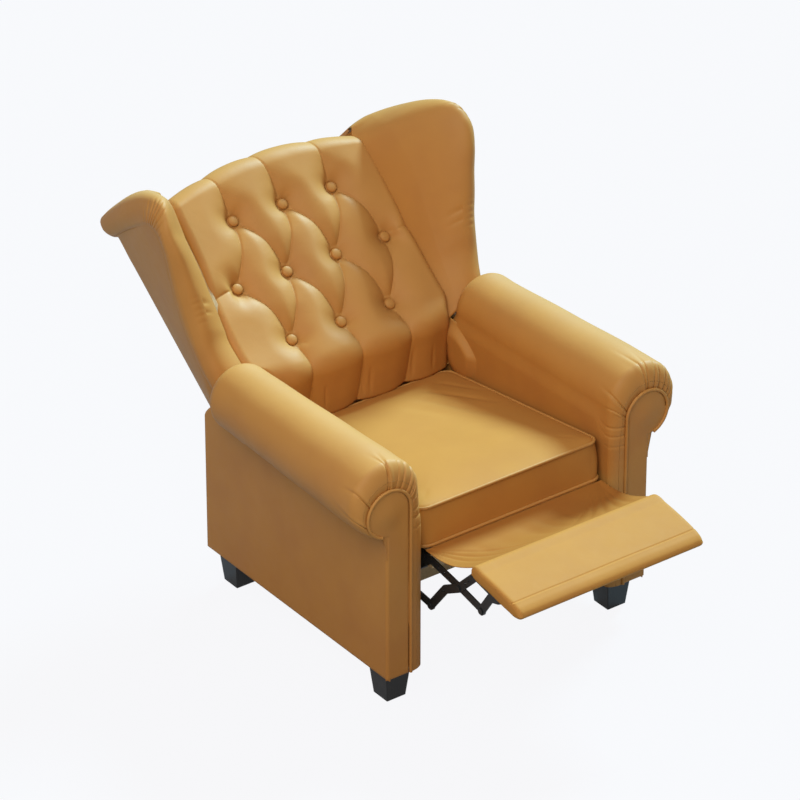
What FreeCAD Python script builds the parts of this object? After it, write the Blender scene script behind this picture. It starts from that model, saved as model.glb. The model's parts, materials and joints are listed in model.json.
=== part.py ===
# Push-back wing recliner, modelled as in the photograph: back laid back, footrest out.
# Millimetres, +Z up, the chair faces -Y, +X is the sitter's left. The floor is z = 0.
import FreeCAD
import Part
import math
import os

os.makedirs("parts", exist_ok=True)

V = FreeCAD.Vector

# Overall places
origin_y = 0.6                  # the model is built about another line and moved by this at the end
plate_gap = 0.5                 # between plates that turn beside each other
pin_clearance = 0.06            # radial, a rivet in the hole it turns in
open_clearance = 0.5            # radial, at the pivots where the linkage is left open

# Widths: all stand on half the seat's width between the arms
arm_inner_x = 258.0
arm_wall = 12.0
arm_inner_strip = 33.0          # from the arm's inner face to its piping
arm_width = 95.5                # from the arm's inner face to the outer side
frame_inner_x = arm_inner_x + arm_wall
piping_inner_x = arm_inner_x + arm_inner_strip
side_outer_x = arm_inner_x + arm_width

# Legs
leg_height = 81.5
leg_foot = 50.0
leg_head = 66.0
leg_inset = 25.0                # from the outer side to the leg's foot
leg_outer_x = side_outer_x - leg_inset
front_leg_y = -341.8            # front face of the foot
rear_leg_y = 269.2              # rear face of the foot
glide_thickness = 3.0
glide_radius = 14.0
leg_bolt_radius = 4.0
leg_bolt_length = 60.0

# Base
base_front_y = -376.0
base_rear_y = 302.0
cover_bottom = 80.0
side_thickness = 15.5
side_top_z = 404.0              # at the rear edge
shoulder_z = 451.0
shoulder_y = 276.0
rear_panel_thickness = 17.0
rear_panel_top = 398.0
frame_board = 18.0
frame_front_y = -362.0
frame_rear_y = 284.0
frame_bottom = leg_height
frame_rail_width = side_outer_x - side_thickness - frame_inner_x - 2.0
frame_rail_height = 30.0
frame_top = shoulder_z + 1.0
frame_top_board = 20.0
frame_top_width = 96.0
frame_rear_top = 390.0          # behind the arm roll, where the back lies over it
cross_rail_height = 58.0
cross_rail_thickness = 25.0
front_cross_rail_y = -110.0
rear_cross_rail_y = 252.0

# Arms
arm_rear_y = 205.0
roll_front_radius = 88.0
roll_rear_radius = 78.0
roll_overhang = 1.0             # how far the roll stands past the arm's inner face
roll_front_z = 530.0
roll_rear_z = 519.0
scroll_inset = 89.0             # from the arm's inner face to the middle of the scroll
scroll_x = arm_inner_x + scroll_inset
scroll_z = 502.0
scroll_radius = scroll_x - piping_inner_x - 4.0
front_board = 8.0
wall_bottom = 335.0
front_column_rear_y = -330.0
piping_radius = 3.6
piping_end_angle = 70.0         # how far the piping curls under the scroll

# Seat
seat_tilt = 8.2
seat_front_y = -356.0
seat_front_z = 355.0            # underside of the cushion at its front
cushion_length = 548.0
cushion_side_room = 17.0        # between the cushion and the arm
cushion_half_width = arm_inner_x - cushion_side_room
cushion_thickness = 100.0
cushion_crown = 17.0
cushion_corner = 26.0
deck_thickness = 4.0
seat_rail_inset = 22.0          # from the cushion's side to the rail's
seat_rail_outer_x = cushion_half_width - seat_rail_inset
seat_rail_width = 25.0
seat_rail_height = 46.0
frame_end_room = 8.0            # the cushion stands this far behind the seat frame
seat_frame_length = cushion_length - frame_end_room
spring_count = 5
spring_wire = 3.4
spring_pitch = 46.0
spring_half_width = 22.0

# Slide of the seat carriage on the base
slide_rail_z = 240.0
slide_rail_height = 32.0
slide_rail_wall = 3.0
slide_rail_front_y = -172.0
slide_rail_rear_y = 255.0
runner_height = 14.0
runner_width = 17.0
runner_front_y = -160.0
runner_rear_y = 182.0
runner_block = 34.0

# Footrest linkage, places in the side view at rest (y, z)
link_thickness = 3.0
link_width = 20.0
plate_thickness = 3.0
link_layer_x = seat_rail_outer_x + plate_thickness + plate_gap      # inner face of the first layer of links
pivot_radius = 4.0
long_pivot = (-335.0, 330.0)
crossing = (-461.0, 316.0)
long_end = (-539.0, 299.0)
cross_low_end = (-362.0, 221.0)
cross_top_end = (-516.0, 372.0)
long_bend = (-362.0, 333.0)
low_bend = (-414.0, 289.0)
front_bend = (-571.0, 348.0)
tube_radius = 10.0
tube_wall = 2.0
tube_bushing = 5.0              # how far the welded bushing stands round the tube
link_hole_radius = 2.6
rivet_head = 3.0                # how far a head stands out round its shank

# Footrest board, places in the side view at rest
rest_inner = (-527.0, 415.0)
rest_slope = 10.5
rest_length = 176.0
rest_thickness = 28.0
rest_side_room = 10.0           # between the footrest and the arm
rest_half_width = arm_inner_x - rest_side_room
rest_nose = 13.5
board_thickness = 12.0
flap_thickness = 2.0
flap_half_width = rest_half_width - 10.0
flap_sag = 16.0

# Back, in its own frame: s runs up the back and n out of it to the front, from the middle row of buttons
back_tilt = 47.5
back_y = 383.1
back_z = 648.9
button_pitch = 133.9
button_rows = 148.6
button_radius = 12.5
button_height = 9.0
pad_arm_gap = 1.0
pad_half_width = arm_inner_x - pad_arm_gap
hinge_room = 14.0               # between the pad's foot and the arm, for the hinge
pad_foot_half_width = arm_inner_x - hinge_room
pad_rear_n = -45.0
pad_front_n = 29.0
pad_top_s = 243.0               # at the pad's two upper corners
pad_crown = 41.0                # how much higher its middle is
pad_corner = 24.0
back_top_step = 8.0             # from the pad's top down to the board's, and up to the rear cover's
tuft_depth = 30.0
fold_depth = 13.0
fold_half_width = 9.0
back_board_thickness = 12.0
back_board_foot_s = -250.0
stile_width = 30.0
stile_depth = 46.0
back_rail_height = 24.0
rear_cover_n = -118.0
rear_cover_thickness = 9.0
rear_cover_foot_s = -232.0
wing_gap = 5.0                  # from the pad's side to the wing's root
wing_root_x = pad_half_width + wing_gap
rear_cover_half_width = wing_root_x + 56.0
wing_frame_thickness = 18.0
wing_frame_inset = 10.0         # from the wing's root to its board
wing_frame_top_s = 200.0
wing_frame_foot_s = -180.0
wing_roll_radius = 31.0
wing_roll_rear = (80.0, -138.0, 260.0)       # out from the root, n and s
wing_roll_front = (104.0, 60.0, 226.0)

# Back hinge, in the side view at rest
hinge_y = 167.0
hinge_z = 441.0
hinge_plate_x = pad_foot_half_width + 2.0
hinge_plate = 4.0
hinge_eye = 14.0
bracket_foot_length = 64.0
bracket_foot_height = 12.0
hinge_bolt_radius = 5.0


def box(x0, x1, y0, y1, z0, z1):
    return Part.makeBox(x1 - x0, y1 - y0, z1 - z0, V(x0, y0, z0))


def prism_x(points, x0, x1):
    """A side outline, as (y, z) points, pushed along X from x0 to x1."""
    corners = [V(x0, y, z) for y, z in points]
    face = Part.Face(Part.makePolygon(corners + corners[:1]))
    return face.extrude(V(x1 - x0, 0, 0))


def rod_x(y, z, radius, x0, x1):
    return Part.makeCylinder(radius, x1 - x0, V(x0, y, z), V(1, 0, 0))


def mirrored(shape):
    return shape.mirror(V(0, 0, 0), V(1, 0, 0))


def both(shape):
    return [shape, mirrored(shape)]


def put(name, *solids):
    """Writes one node, moved so that the origin lies under the middle of the chair."""
    whole = Part.makeCompound([s.copy() for s in solids]) if len(solids) > 1 else solids[0].copy()
    whole.translate(V(0, -origin_y, 0))
    for solid in whole.Solids:
        if not solid.isValid():
            print("not valid:", name)
    print(name, len(whole.Solids), "solids", round(whole.Volume / 1000.0, 1), "cm3")
    whole.exportStep("parts/" + name + ".step")


def put_pair(name, shape):
    """The sitter's left is +X."""
    put("left_" + name, shape)
    put("right_" + name, mirrored(shape))


def rounded_rectangle(x0, x1, y0, y1, radius, z):
    """A wire of four lines and four arcs at height z."""
    k = radius * (1 - math.sqrt(0.5))
    arcs = [
        Part.Arc(V(x1 - radius, y0, z), V(x1 - k, y0 + k, z), V(x1, y0 + radius, z)),
        Part.Arc(V(x1, y1 - radius, z), V(x1 - k, y1 - k, z), V(x1 - radius, y1, z)),
        Part.Arc(V(x0 + radius, y1, z), V(x0 + k, y1 - k, z), V(x0, y1 - radius, z)),
        Part.Arc(V(x0, y0 + radius, z), V(x0 + k, y0 + k, z), V(x0 + radius, y0, z)),
    ]
    edges = []
    for i, arc in enumerate(arcs):
        edges.append(Part.LineSegment(arcs[i - 1].EndPoint, arc.StartPoint).toShape())
        edges.append(arc.toShape())
    return Part.Wire(edges)


def circle_wire(x, z, radius, y):
    """A circle of three arcs in a plane across Y."""
    spots = [V(x + radius * math.cos(a), y, z + radius * math.sin(a))
             for a in [math.radians(60 * k) for k in range(6)]]
    edges = [Part.Arc(spots[2 * k], spots[2 * k + 1], spots[(2 * k + 2) % 6]).toShape() for k in range(3)]
    return Part.Wire(edges)


def tube(start, pieces, radius):
    """A round tube along joined edges; start is the first point and its direction."""
    path = Part.Wire([p.toShape() for p in pieces])
    point, direction = start
    ring = Part.Wire([Part.makeCircle(radius, point, direction)])
    shell = path.makePipeShell([ring], True, False)
    return shell


def build_legs():
    centre_x = leg_outer_x - leg_foot / 2
    for name, foot_y in (("front", front_leg_y + leg_foot / 2), ("rear", rear_leg_y - leg_foot / 2)):
        wires = []
        for size, z in ((leg_foot, glide_thickness), (leg_head, leg_height)):
            wires.append(rounded_rectangle(centre_x - size / 2, centre_x + size / 2,
                                           foot_y - size / 2, foot_y + size / 2, 2.0, z))
        leg = Part.makeLoft(wires, True, True)
        bolt_hole = Part.makeCylinder(leg_bolt_radius, leg_bolt_length / 2,
                                      V(centre_x, foot_y, leg_height - leg_bolt_length / 2))
        put_pair(name + "_leg", leg.cut(bolt_hole))


def leg_spots():
    centre_x = leg_outer_x - leg_foot / 2
    return [(side * centre_x, y) for side in (1, -1)
            for y in (front_leg_y + leg_foot / 2, rear_leg_y - leg_foot / 2)]


def build_leg_hardware():
    put("leg_glides", *[Part.makeCylinder(glide_radius, glide_thickness, V(x, y, 0)) for x, y in leg_spots()])
    put("leg_bolts", *[Part.makeCylinder(leg_bolt_radius, leg_bolt_length,
                                         V(x, y, leg_height - leg_bolt_length / 2)) for x, y in leg_spots()])


def arm_frame():
    """Plywood side with a rail along its foot and a board under the arm roll, glued into one."""
    side = prism_x([(frame_front_y, frame_bottom), (frame_rear_y, frame_bottom), (frame_rear_y, frame_rear_top),
                    (arm_rear_y - 10, frame_rear_top), (arm_rear_y - 10, frame_top), (frame_front_y, frame_top)],
                   frame_inner_x, frame_inner_x + frame_board)
    rail = box(frame_inner_x, frame_inner_x + frame_rail_width, frame_front_y, frame_rear_y,
               frame_bottom, frame_bottom + frame_rail_height)
    top = box(frame_inner_x, frame_inner_x + frame_top_width, frame_front_y, arm_rear_y - 10,
              frame_top, frame_top + frame_top_board)
    frame = side.fuse(rail).fuse(top).removeSplitter()
    for x, y in leg_spots():
        if x > 0:
            frame = frame.cut(Part.makeCylinder(leg_bolt_radius, leg_bolt_length, V(x, y, frame_bottom)))
    return frame


def arm_roll():
    """The padded roll: swells behind the scroll front and rounds off at its rear end."""
    stations = [
        (base_front_y, scroll_x, scroll_z, scroll_radius + 4),
        (base_front_y + 5, scroll_x, scroll_z + 2, scroll_radius + 20),
        (base_front_y + 16, scroll_x, scroll_z + 9, scroll_radius + 29),
    ]
    for y, z, radius in (
            (base_front_y + 42, roll_front_z - 6, roll_front_radius - 2),
            (base_front_y + 100, roll_front_z, roll_front_radius),
            (arm_rear_y - 60, roll_rear_z, roll_rear_radius),
            (arm_rear_y - 20, roll_rear_z, roll_rear_radius - 5),
            (arm_rear_y - 6, roll_rear_z, roll_rear_radius - 15),
            (arm_rear_y, roll_rear_z, roll_rear_radius - 32)):
        x = arm_inner_x - roll_overhang + max(radius, roll_rear_radius)
        stations.append((y, x, z, radius))
    wires = [circle_wire(x, z, radius, y) for y, x, z, radius in stations]
    return Part.makeLoft(wires, True, True)


def outer_panel():
    """Leather covered side with its rounded rear shoulder."""
    drop = shoulder_z - side_top_z
    bottom_front = V(side_outer_x, base_front_y, cover_bottom)
    bottom_rear = V(side_outer_x, base_rear_y, cover_bottom)
    rear = V(side_outer_x, base_rear_y, side_top_z)
    mid = V(side_outer_x, base_rear_y - 7, side_top_z + drop * 0.72)
    top_rear = V(side_outer_x, shoulder_y, shoulder_z)
    top_front = V(side_outer_x, base_front_y, shoulder_z)
    edges = [Part.LineSegment(bottom_front, bottom_rear).toShape(), Part.LineSegment(bottom_rear, rear).toShape(),
             Part.Arc(rear, mid, top_rear).toShape(), Part.LineSegment(top_rear, top_front).toShape(),
             Part.LineSegment(top_front, bottom_front).toShape()]
    return Part.Face(Part.Wire(edges)).extrude(V(-side_thickness, 0, 0))


def scroll_front():
    """The flat upholstered front: a scroll over a straight panel."""
    disc = Part.Face(circle_wire(scroll_x, scroll_z, scroll_radius, base_front_y)).extrude(V(0, front_board, 0))
    panel = box(piping_inner_x + piping_radius, side_outer_x, base_front_y, base_front_y + front_board,
                cover_bottom, scroll_z)
    return disc.fuse(panel).removeSplitter()


def arm_piping():
    """A cord up the inner edge, round the scroll and under it."""
    y = base_front_y - 0.5
    radius = scroll_x - piping_inner_x
    foot = V(piping_inner_x, y, cover_bottom + 4)
    start = V(piping_inner_x, y, scroll_z)
    top = V(scroll_x, y, scroll_z + radius)
    end_angle = math.radians(-piping_end_angle)
    end = V(scroll_x + radius * math.cos(end_angle), y, scroll_z + radius * math.sin(end_angle))
    before_top = math.radians(135)
    after_top = (math.radians(90) + end_angle) / 2
    first = Part.Arc(start, V(scroll_x + radius * math.cos(before_top), y,
                              scroll_z + radius * math.sin(before_top)), top)
    second = Part.Arc(top, V(scroll_x + radius * math.cos(after_top), y,
                             scroll_z + radius * math.sin(after_top)), end)
    return tube((foot, V(0, 0, 1)), [Part.LineSegment(foot, start), first, second], piping_radius)


def build_arms():
    frame = arm_frame()
    panel = outer_panel()
    front = scroll_front()
    piping = arm_piping()
    wall = box(arm_inner_x, frame_inner_x, base_front_y + 8, arm_rear_y, wall_bottom, roll_rear_z)
    column = box(arm_inner_x, piping_inner_x + piping_radius, base_front_y + 4, front_column_rear_y,
                 leg_height, roll_front_z)
    column = column.makeFillet(14.0, [e for e in column.Edges if vertical_front_edge(e)])
    pad = arm_roll().fuse(wall).fuse(column)
    front = front.cut(frame)
    pad = pad.cut(frame).cut(panel).cut(front).cut(piping)
    pad = max(pad.Solids, key=lambda solid: solid.Volume)
    front_left = front.cut(piping).cut(panel)
    put_pair("arm_frame", frame)
    put_pair("arm_pad", pad)
    put_pair("outer_panel", panel)
    put_pair("scroll_front", front_left)
    put_pair("arm_piping", piping)


def vertical_front_edge(edge):
    bounds = edge.BoundBox
    return bounds.ZLength > 300 and abs(bounds.YMax - (base_front_y + 4)) < 0.1 and bounds.XMax < arm_inner_x + 1


def build_base_cross_pieces():
    half = side_outer_x - side_thickness
    put("rear_panel", box(-half, half, base_rear_y - rear_panel_thickness, base_rear_y,
                          cover_bottom, rear_panel_top))
    for name, y in (("front_cross_rail", front_cross_rail_y), ("rear_cross_rail", rear_cross_rail_y)):
        put(name, box(-frame_inner_x, frame_inner_x, y, y + cross_rail_thickness,
                      frame_bottom + 10, frame_bottom + 10 + cross_rail_height))


def slide_rail():
    outer = box(arm_inner_x, frame_inner_x, slide_rail_front_y, slide_rail_rear_y,
                slide_rail_z - slide_rail_height / 2, slide_rail_z + slide_rail_height / 2)
    groove = box(arm_inner_x, frame_inner_x - slide_rail_wall, slide_rail_front_y, slide_rail_rear_y,
                 slide_rail_z - runner_height / 2 - plate_gap, slide_rail_z + runner_height / 2 + plate_gap)
    return outer.cut(groove)


def slide_runner():
    """A bar in the slide rail, on two blocks that stand on the mechanism plate."""
    bar_end = frame_inner_x - slide_rail_wall - plate_gap
    bar = box(bar_end - runner_width, bar_end, runner_front_y, runner_rear_y,
              slide_rail_z - runner_height / 2, slide_rail_z + runner_height / 2)
    shape = bar
    for y in (runner_front_y + runner_block, runner_rear_y - 2.5 * runner_block):
        shape = shape.fuse(box(plate_outer_x(), bar_end - runner_width, y, y + runner_block,
                               slide_rail_z - runner_height / 2, slide_rail_z + runner_height / 2))
    return shape.removeSplitter()


def plate_outer_x():
    return link_layer_x - plate_gap


def in_seat(shape):
    """From the seat's level frame, with its front lower edge at the origin, to its place in the chair."""
    copy = shape.copy()
    copy.rotate(V(0, 0, 0), V(1, 0, 0), -seat_tilt)
    copy.translate(V(0, seat_front_y, seat_front_z))
    return copy


def cushion():
    """Boxed cushion: drawn in between its two seams, crowned on top."""
    half = cushion_half_width
    levels = [(0.0, 12.0), (7.0, 2.0), (12.0, 0.0), (cushion_thickness / 2, 5.0), (cushion_thickness - 8, 0.0),
              (cushion_thickness, 6.0), (cushion_thickness + cushion_crown * 0.45, 40.0),
              (cushion_thickness + cushion_crown * 0.85, 95.0), (cushion_thickness + cushion_crown, 150.0)]
    wires = [rounded_rectangle(-half + inset, half - inset, inset, cushion_length - inset,
                               cushion_corner + inset * 0.3, z + deck_thickness)
             for z, inset in levels]
    return Part.makeLoft(wires, True, True)


def cushion_welt(z):
    half = cushion_half_width + 0.6
    path = rounded_rectangle(-half, half, -0.6, cushion_length + 0.6, cushion_corner, z + deck_thickness)
    ring = Part.Wire([Part.makeCircle(piping_radius, V(0, -0.6, z + deck_thickness), V(1, 0, 0))])
    return path.makePipeShell([ring], True, False)


def zigzag_spring(x):
    """One spring wire, bent side to side in half circles, hooked on the two cross rails."""
    bend = spring_pitch / 4
    count = int((seat_frame_length - 2 * seat_rail_width) / (2 * bend))
    y = (seat_frame_length - count * 2 * bend) / 2
    z = -spring_wire
    side = -1
    pieces = []
    point = V(x - side * spring_half_width, y, z)
    start = point
    for k in range(count):
        across = V(x + side * (spring_half_width - bend), y, z)
        pieces.append(Part.LineSegment(point, across))
        end = V(across.x, y + 2 * bend, z)
        pieces.append(Part.Arc(across, V(across.x + side * bend, y + bend, z), end))
        point = end
        y += 2 * bend
        side = -side
    last = V(x + side * spring_half_width, y, z)
    pieces.append(Part.LineSegment(point, last))
    return tube((start, V(1, 0, 0)), pieces, spring_wire / 2)


def build_seat():
    seat = in_seat(cushion())
    welts = [in_seat(cushion_welt(z)) for z in (8.0, cushion_thickness - 4)]
    for welt in welts:
        seat = seat.cut(welt)
    put("seat_cushion", max(seat.Solids, key=lambda solid: solid.Volume))
    put("seat_piping", *welts)
    outer = seat_rail_outer_x
    inner = outer - seat_rail_width
    height = seat_rail_height
    put("seat_deck", in_seat(box(-outer, outer, 2.0, seat_frame_length, 0.0, deck_thickness)))
    put_pair("seat_rail", in_seat(box(inner, outer, 6.0, seat_frame_length, -height, 0.0)))
    springs = [in_seat(zigzag_spring(x)) for x in
               [(k - (spring_count - 1) / 2) * 2 * inner / (spring_count + 0.4) for k in range(spring_count)]]
    front = in_seat(box(-inner, inner, 6.0, 6.0 + seat_rail_width, -height, 0.0))
    rear = in_seat(box(-inner, inner, seat_frame_length - seat_rail_width, seat_frame_length, -height, 0.0))
    for spring in springs:
        front = front.cut(spring)
        rear = rear.cut(spring)
    put("seat_front_rail", front)
    put("seat_rear_rail", rear)
    put("seat_springs", *springs)


def mechanism_plate():
    """Steel side plate: carries the links at the front, the runner and the back's bracket at the rear."""
    y1, z1 = long_pivot
    y4, z4 = rear_pivot()
    outline = [(y1 - 14, z1 - 14), (y1 - 14, z1 + 12), (y1 + 20, z1 + 14), (seat_front_y + seat_frame_length, 272.0),
               (seat_front_y + seat_frame_length, slide_rail_z - 10), (y4 + 24, z4 - 18), (y4 - 16, z4 - 18),
               (y4 - 22, z4 + 6)]
    x1 = plate_outer_x()
    plate = prism_x(outline, x1 - plate_thickness, x1)
    plate = plate.cut(rod_x(y4, z4, tube_radius + pin_clearance, 0, 300))
    return plate.cut(rod_x(y1, z1, pivot_radius, 0, 300))


def rear_pivot():
    """The rear link is parallel to the long link's rear arm and as long."""
    return (long_pivot[0] + cross_low_end[0] - crossing[0], long_pivot[1] + cross_low_end[1] - crossing[1])


def front_link_top():
    """The front link is parallel to the cross link's front arm and as long."""
    return (long_end[0] + cross_top_end[0] - crossing[0], long_end[1] + cross_top_end[1] - crossing[1])


def footrest_centre():
    """The point that the footrest turns about: the links make it a pure turn."""
    return (long_pivot[0] + cross_top_end[0] - crossing[0], long_pivot[1] + cross_top_end[1] - crossing[1])


def strip(points, x0, width=link_width):
    """A link plate along joined straight runs, with round ends and corners."""
    half = width / 2
    shape = None
    x1 = x0 + link_thickness
    for (ya, za), (yb, zb) in zip(points, points[1:]):
        length = math.hypot(yb - ya, zb - za)
        ny = -(zb - za) / length * half
        nz = (yb - ya) / length * half
        run = prism_x([(ya + ny, za + nz), (yb + ny, zb + nz), (yb - ny, zb - nz), (ya - ny, za - nz)], x0, x1)
        shape = run if shape is None else shape.fuse(run)
    for y, z in points:
        shape = shape.fuse(rod_x(y, z, half, x0, x1))
    return shape.removeSplitter()


def holes_along(shape, start, end, shares, radius, x0):
    for share in shares:
        y = start[0] + (end[0] - start[0]) * share
        z = start[1] + (end[1] - start[1]) * share
        shape = shape.cut(rod_x(y, z, radius, x0 - 1, x0 + link_thickness + 1))
    return shape


def drilled(shape, spot, radius, x0):
    return shape.cut(rod_x(spot[0], spot[1], radius, x0 - 1, x0 + link_thickness + 1))


def build_links():
    first = link_layer_x
    second = link_layer_x + link_thickness + plate_gap
    turning = pivot_radius + pin_clearance
    loose = pivot_radius + open_clearance
    long_link = strip([long_pivot, long_bend, crossing, long_end], first)
    long_link = holes_along(long_link, long_bend, crossing, (0.25, 0.45, 0.62), link_hole_radius, first)
    long_link = drilled(long_link, long_pivot, turning, first)
    for spot in (crossing, long_end):
        long_link = drilled(long_link, spot, pivot_radius, first)
    put_pair("long_link", long_link)
    cross_link = strip([cross_low_end, low_bend, crossing, cross_top_end], second)
    cross_link = holes_along(cross_link, crossing, cross_top_end, (0.42, 0.64), link_hole_radius, second)
    cross_link = holes_along(cross_link, cross_low_end, low_bend, (0.92,), link_hole_radius, second)
    cross_link = drilled(cross_link, crossing, turning, second)
    for spot in (cross_low_end, cross_top_end):
        cross_link = drilled(cross_link, spot, loose, second)
    put_pair("cross_link", cross_link)
    top = front_link_top()
    front_link = strip([long_end, front_bend, top], second)
    front_link = drilled(front_link, long_end, turning, second)
    front_link = drilled(front_link, top, loose, second)
    put_pair("front_link", front_link)
    pivot = rear_pivot()
    rear_link = strip([cross_low_end, pivot], first, link_width)
    rear_link = drilled(rear_link, cross_low_end, pivot_radius, first)
    rear_link = drilled(rear_link, pivot, tube_radius, first)
    bushing = rod_x(pivot[0], pivot[1], tube_radius + tube_bushing, first, first + link_thickness)
    rear_link = rear_link.fuse(bushing.cut(rod_x(pivot[0], pivot[1], tube_radius, first, first + link_thickness)))
    put_pair("rear_link", rear_link.removeSplitter())
    outer = rod_x(pivot[0], pivot[1], tube_radius, -first - link_thickness, first + link_thickness)
    bore = rod_x(pivot[0], pivot[1], tube_radius - tube_wall, -first - link_thickness, first + link_thickness)
    put("cross_tube", outer.cut(bore))
    put("long_link_rivets", *sum([both(rivet(spot, first)) for spot in (crossing, long_end)], []))
    put("rear_link_rivets", *both(rivet(cross_low_end, first)))
    put("footrest_rivets", *sum([both(rivet(spot, first)) for spot in (cross_top_end, top)], []))
    base = plate_outer_x() - plate_thickness
    shank = rod_x(long_pivot[0], long_pivot[1], pivot_radius, base, first + link_thickness + plate_gap)
    head = rod_x(long_pivot[0], long_pivot[1], pivot_radius + rivet_head, first + link_thickness + plate_gap,
                 first + link_thickness + plate_gap + 1.5)
    put("plate_rivets", *both(shank.fuse(head).removeSplitter()))


def rivet(spot, x0):
    """Held in the first layer, turns in the second, and ends in a flat head outside it."""
    outside = x0 + 2 * (link_thickness + plate_gap)
    shank = rod_x(spot[0], spot[1], pivot_radius, x0, outside)
    head = rod_x(spot[0], spot[1], pivot_radius + rivet_head, outside, outside + 2)
    return shank.fuse(head).removeSplitter()


def in_footrest(shape):
    """From the board's level frame, with its inner top edge at the origin, to its place."""
    copy = shape.copy()
    copy.rotate(V(0, 0, 0), V(1, 0, 0), rest_slope)
    copy.translate(V(0, rest_inner[0], rest_inner[1]))
    return copy


def footrest_outline():
    """Side of the pad in its own frame: flat top, rolled nose, flat underside."""
    nose = -(rest_length - rest_nose)
    top = V(0, nose, 0)
    tip = V(0, -rest_length, -rest_nose)
    low = V(0, nose, -2 * rest_nose)
    back_low = V(0, 0, -rest_thickness)
    back_top = V(0, 0, -5)
    edge_top = V(0, -5, 0)
    round_mid = V(0, -5 * (1 - math.sqrt(0.5)), -5 * (1 - math.sqrt(0.5)))
    slant = rest_nose * math.sqrt(0.5)
    edges = [Part.LineSegment(edge_top, top).toShape(),
             Part.Arc(top, V(0, nose - slant, -rest_nose + slant), tip).toShape(),
             Part.Arc(tip, V(0, nose - slant, -rest_nose - slant), low).toShape(),
             Part.LineSegment(low, back_low).toShape(),
             Part.LineSegment(back_low, back_top).toShape(),
             Part.Arc(back_top, round_mid, edge_top).toShape()]
    return Part.Face(Part.Wire(edges))


def build_footrest():
    face = footrest_outline()
    face.translate(V(-rest_half_width, 0, 0))
    pad = face.extrude(V(2 * rest_half_width, 0, 0))
    board = box(-rest_half_width + 12, rest_half_width - 12, -rest_length + 28, -8,
                -rest_thickness, -rest_thickness + board_thickness)
    put("footrest_pad", in_footrest(pad.cut(board)))
    put("footrest_board", in_footrest(board.common(pad)))
    top = front_link_top()
    first = link_layer_x
    bracket = strip([cross_top_end, top], first, 22.0)
    y_rear = rest_inner[0] - 6.0
    y_front = top[0] - 30.0
    web = prism_x([(cross_top_end[0] - 4, cross_top_end[1] - 8), (cross_top_end[0] - 4, cross_top_end[1] + 6),
                   (y_rear, rest_underside(y_rear)), (y_front, rest_underside(y_front)),
                   (top[0] - 8, top[1] - 8)], first, first + link_thickness)
    bracket = bracket.fuse(web).removeSplitter()
    foot = in_footrest(box(first - 22, first + link_thickness, y_to_board(y_front), y_to_board(y_rear),
                           -rest_thickness - link_thickness, -rest_thickness))
    bracket = bracket.cut(in_footrest(box(0, 300, -400, 100, -rest_thickness, 60))).fuse(foot)
    for spot in (cross_top_end, top):
        bracket = drilled(bracket, spot, pivot_radius, first)
    put("footrest_brackets", *both(bracket.removeSplitter()))


def rest_underside(y):
    """Height of the board's underside at a place along the chair."""
    slope = math.radians(rest_slope)
    return rest_inner[1] + (y - rest_inner[0]) * math.tan(slope) - rest_thickness / math.cos(slope)


def y_to_board(y):
    """Along the board's own length, of a point on its underside."""
    slope = math.radians(rest_slope)
    return (y - rest_inner[0]) / math.cos(slope) - rest_thickness * math.tan(slope)


def build_flap():
    """The leather web from under the seat to the footrest, hanging slack."""
    start = (seat_front_y + 4.5, seat_front_z - 10.0)
    end = (rest_inner[0] + 1.5, rest_inner[1] - 8.0)
    middle = ((start[0] + end[0]) / 2, (start[1] + end[1]) / 2 - flap_sag)
    lines = []
    for rise in (0.0, flap_thickness):
        lines.append(Part.Arc(V(0, start[0], start[1] + rise), V(0, middle[0], middle[1] + rise),
                              V(0, end[0], end[1] + rise)).toShape())
    ends = [Part.LineSegment(V(0, y, z), V(0, y, z + flap_thickness)).toShape() for y, z in (start, end)]
    face = Part.Face(Part.Wire([lines[0], ends[1], lines[1], ends[0]]))
    face.translate(V(-flap_half_width, 0, 0))
    put("footrest_flap", face.extrude(V(2 * flap_half_width, 0, 0)))


def in_back(shape):
    """From the back's own frame (x, -n, s) to its place, laid back."""
    copy = shape.copy()
    copy.rotate(V(0, 0, 0), V(1, 0, 0), -back_tilt)
    copy.translate(V(0, back_y, back_z))
    return copy


def back_point(y, z):
    """(n, s) of a place in the side view."""
    tilt = math.radians(back_tilt)
    dy = y - back_y
    dz = z - back_z
    return (-dy * math.cos(tilt) + dz * math.sin(tilt), dy * math.sin(tilt) + dz * math.cos(tilt))


def button_spots():
    """Four, between two rows of three, as (x, s)."""
    spots = []
    for row, count in ((1, 3), (0, 4), (-1, 3)):
        spots += [((k - (count - 1) / 2) * button_pitch, row * button_rows) for k in range(count)]
    return spots


def top_edge(x):
    """The back's crowned top: its height s at a place across the pad."""
    return pad_top_s + pad_crown * (1 - (x / pad_half_width) ** 2)


def crowned_panel(half_width, foot_s, step, y0, y1):
    """A flat panel behind the pad, from y0 to y1, whose top runs along the pad's, a step higher."""
    side_s = top_edge(half_width) + step
    edges = [Part.LineSegment(V(half_width, y0, side_s), V(half_width, y0, foot_s)).toShape(),
             Part.LineSegment(V(half_width, y0, foot_s), V(-half_width, y0, foot_s)).toShape(),
             Part.LineSegment(V(-half_width, y0, foot_s), V(-half_width, y0, side_s)).toShape(),
             Part.Arc(V(-half_width, y0, side_s), V(0, y0, top_edge(0) + step), V(half_width, y0, side_s)).toShape()]
    return Part.Face(Part.Wire(edges)).extrude(V(0, y1 - y0, 0))


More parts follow.
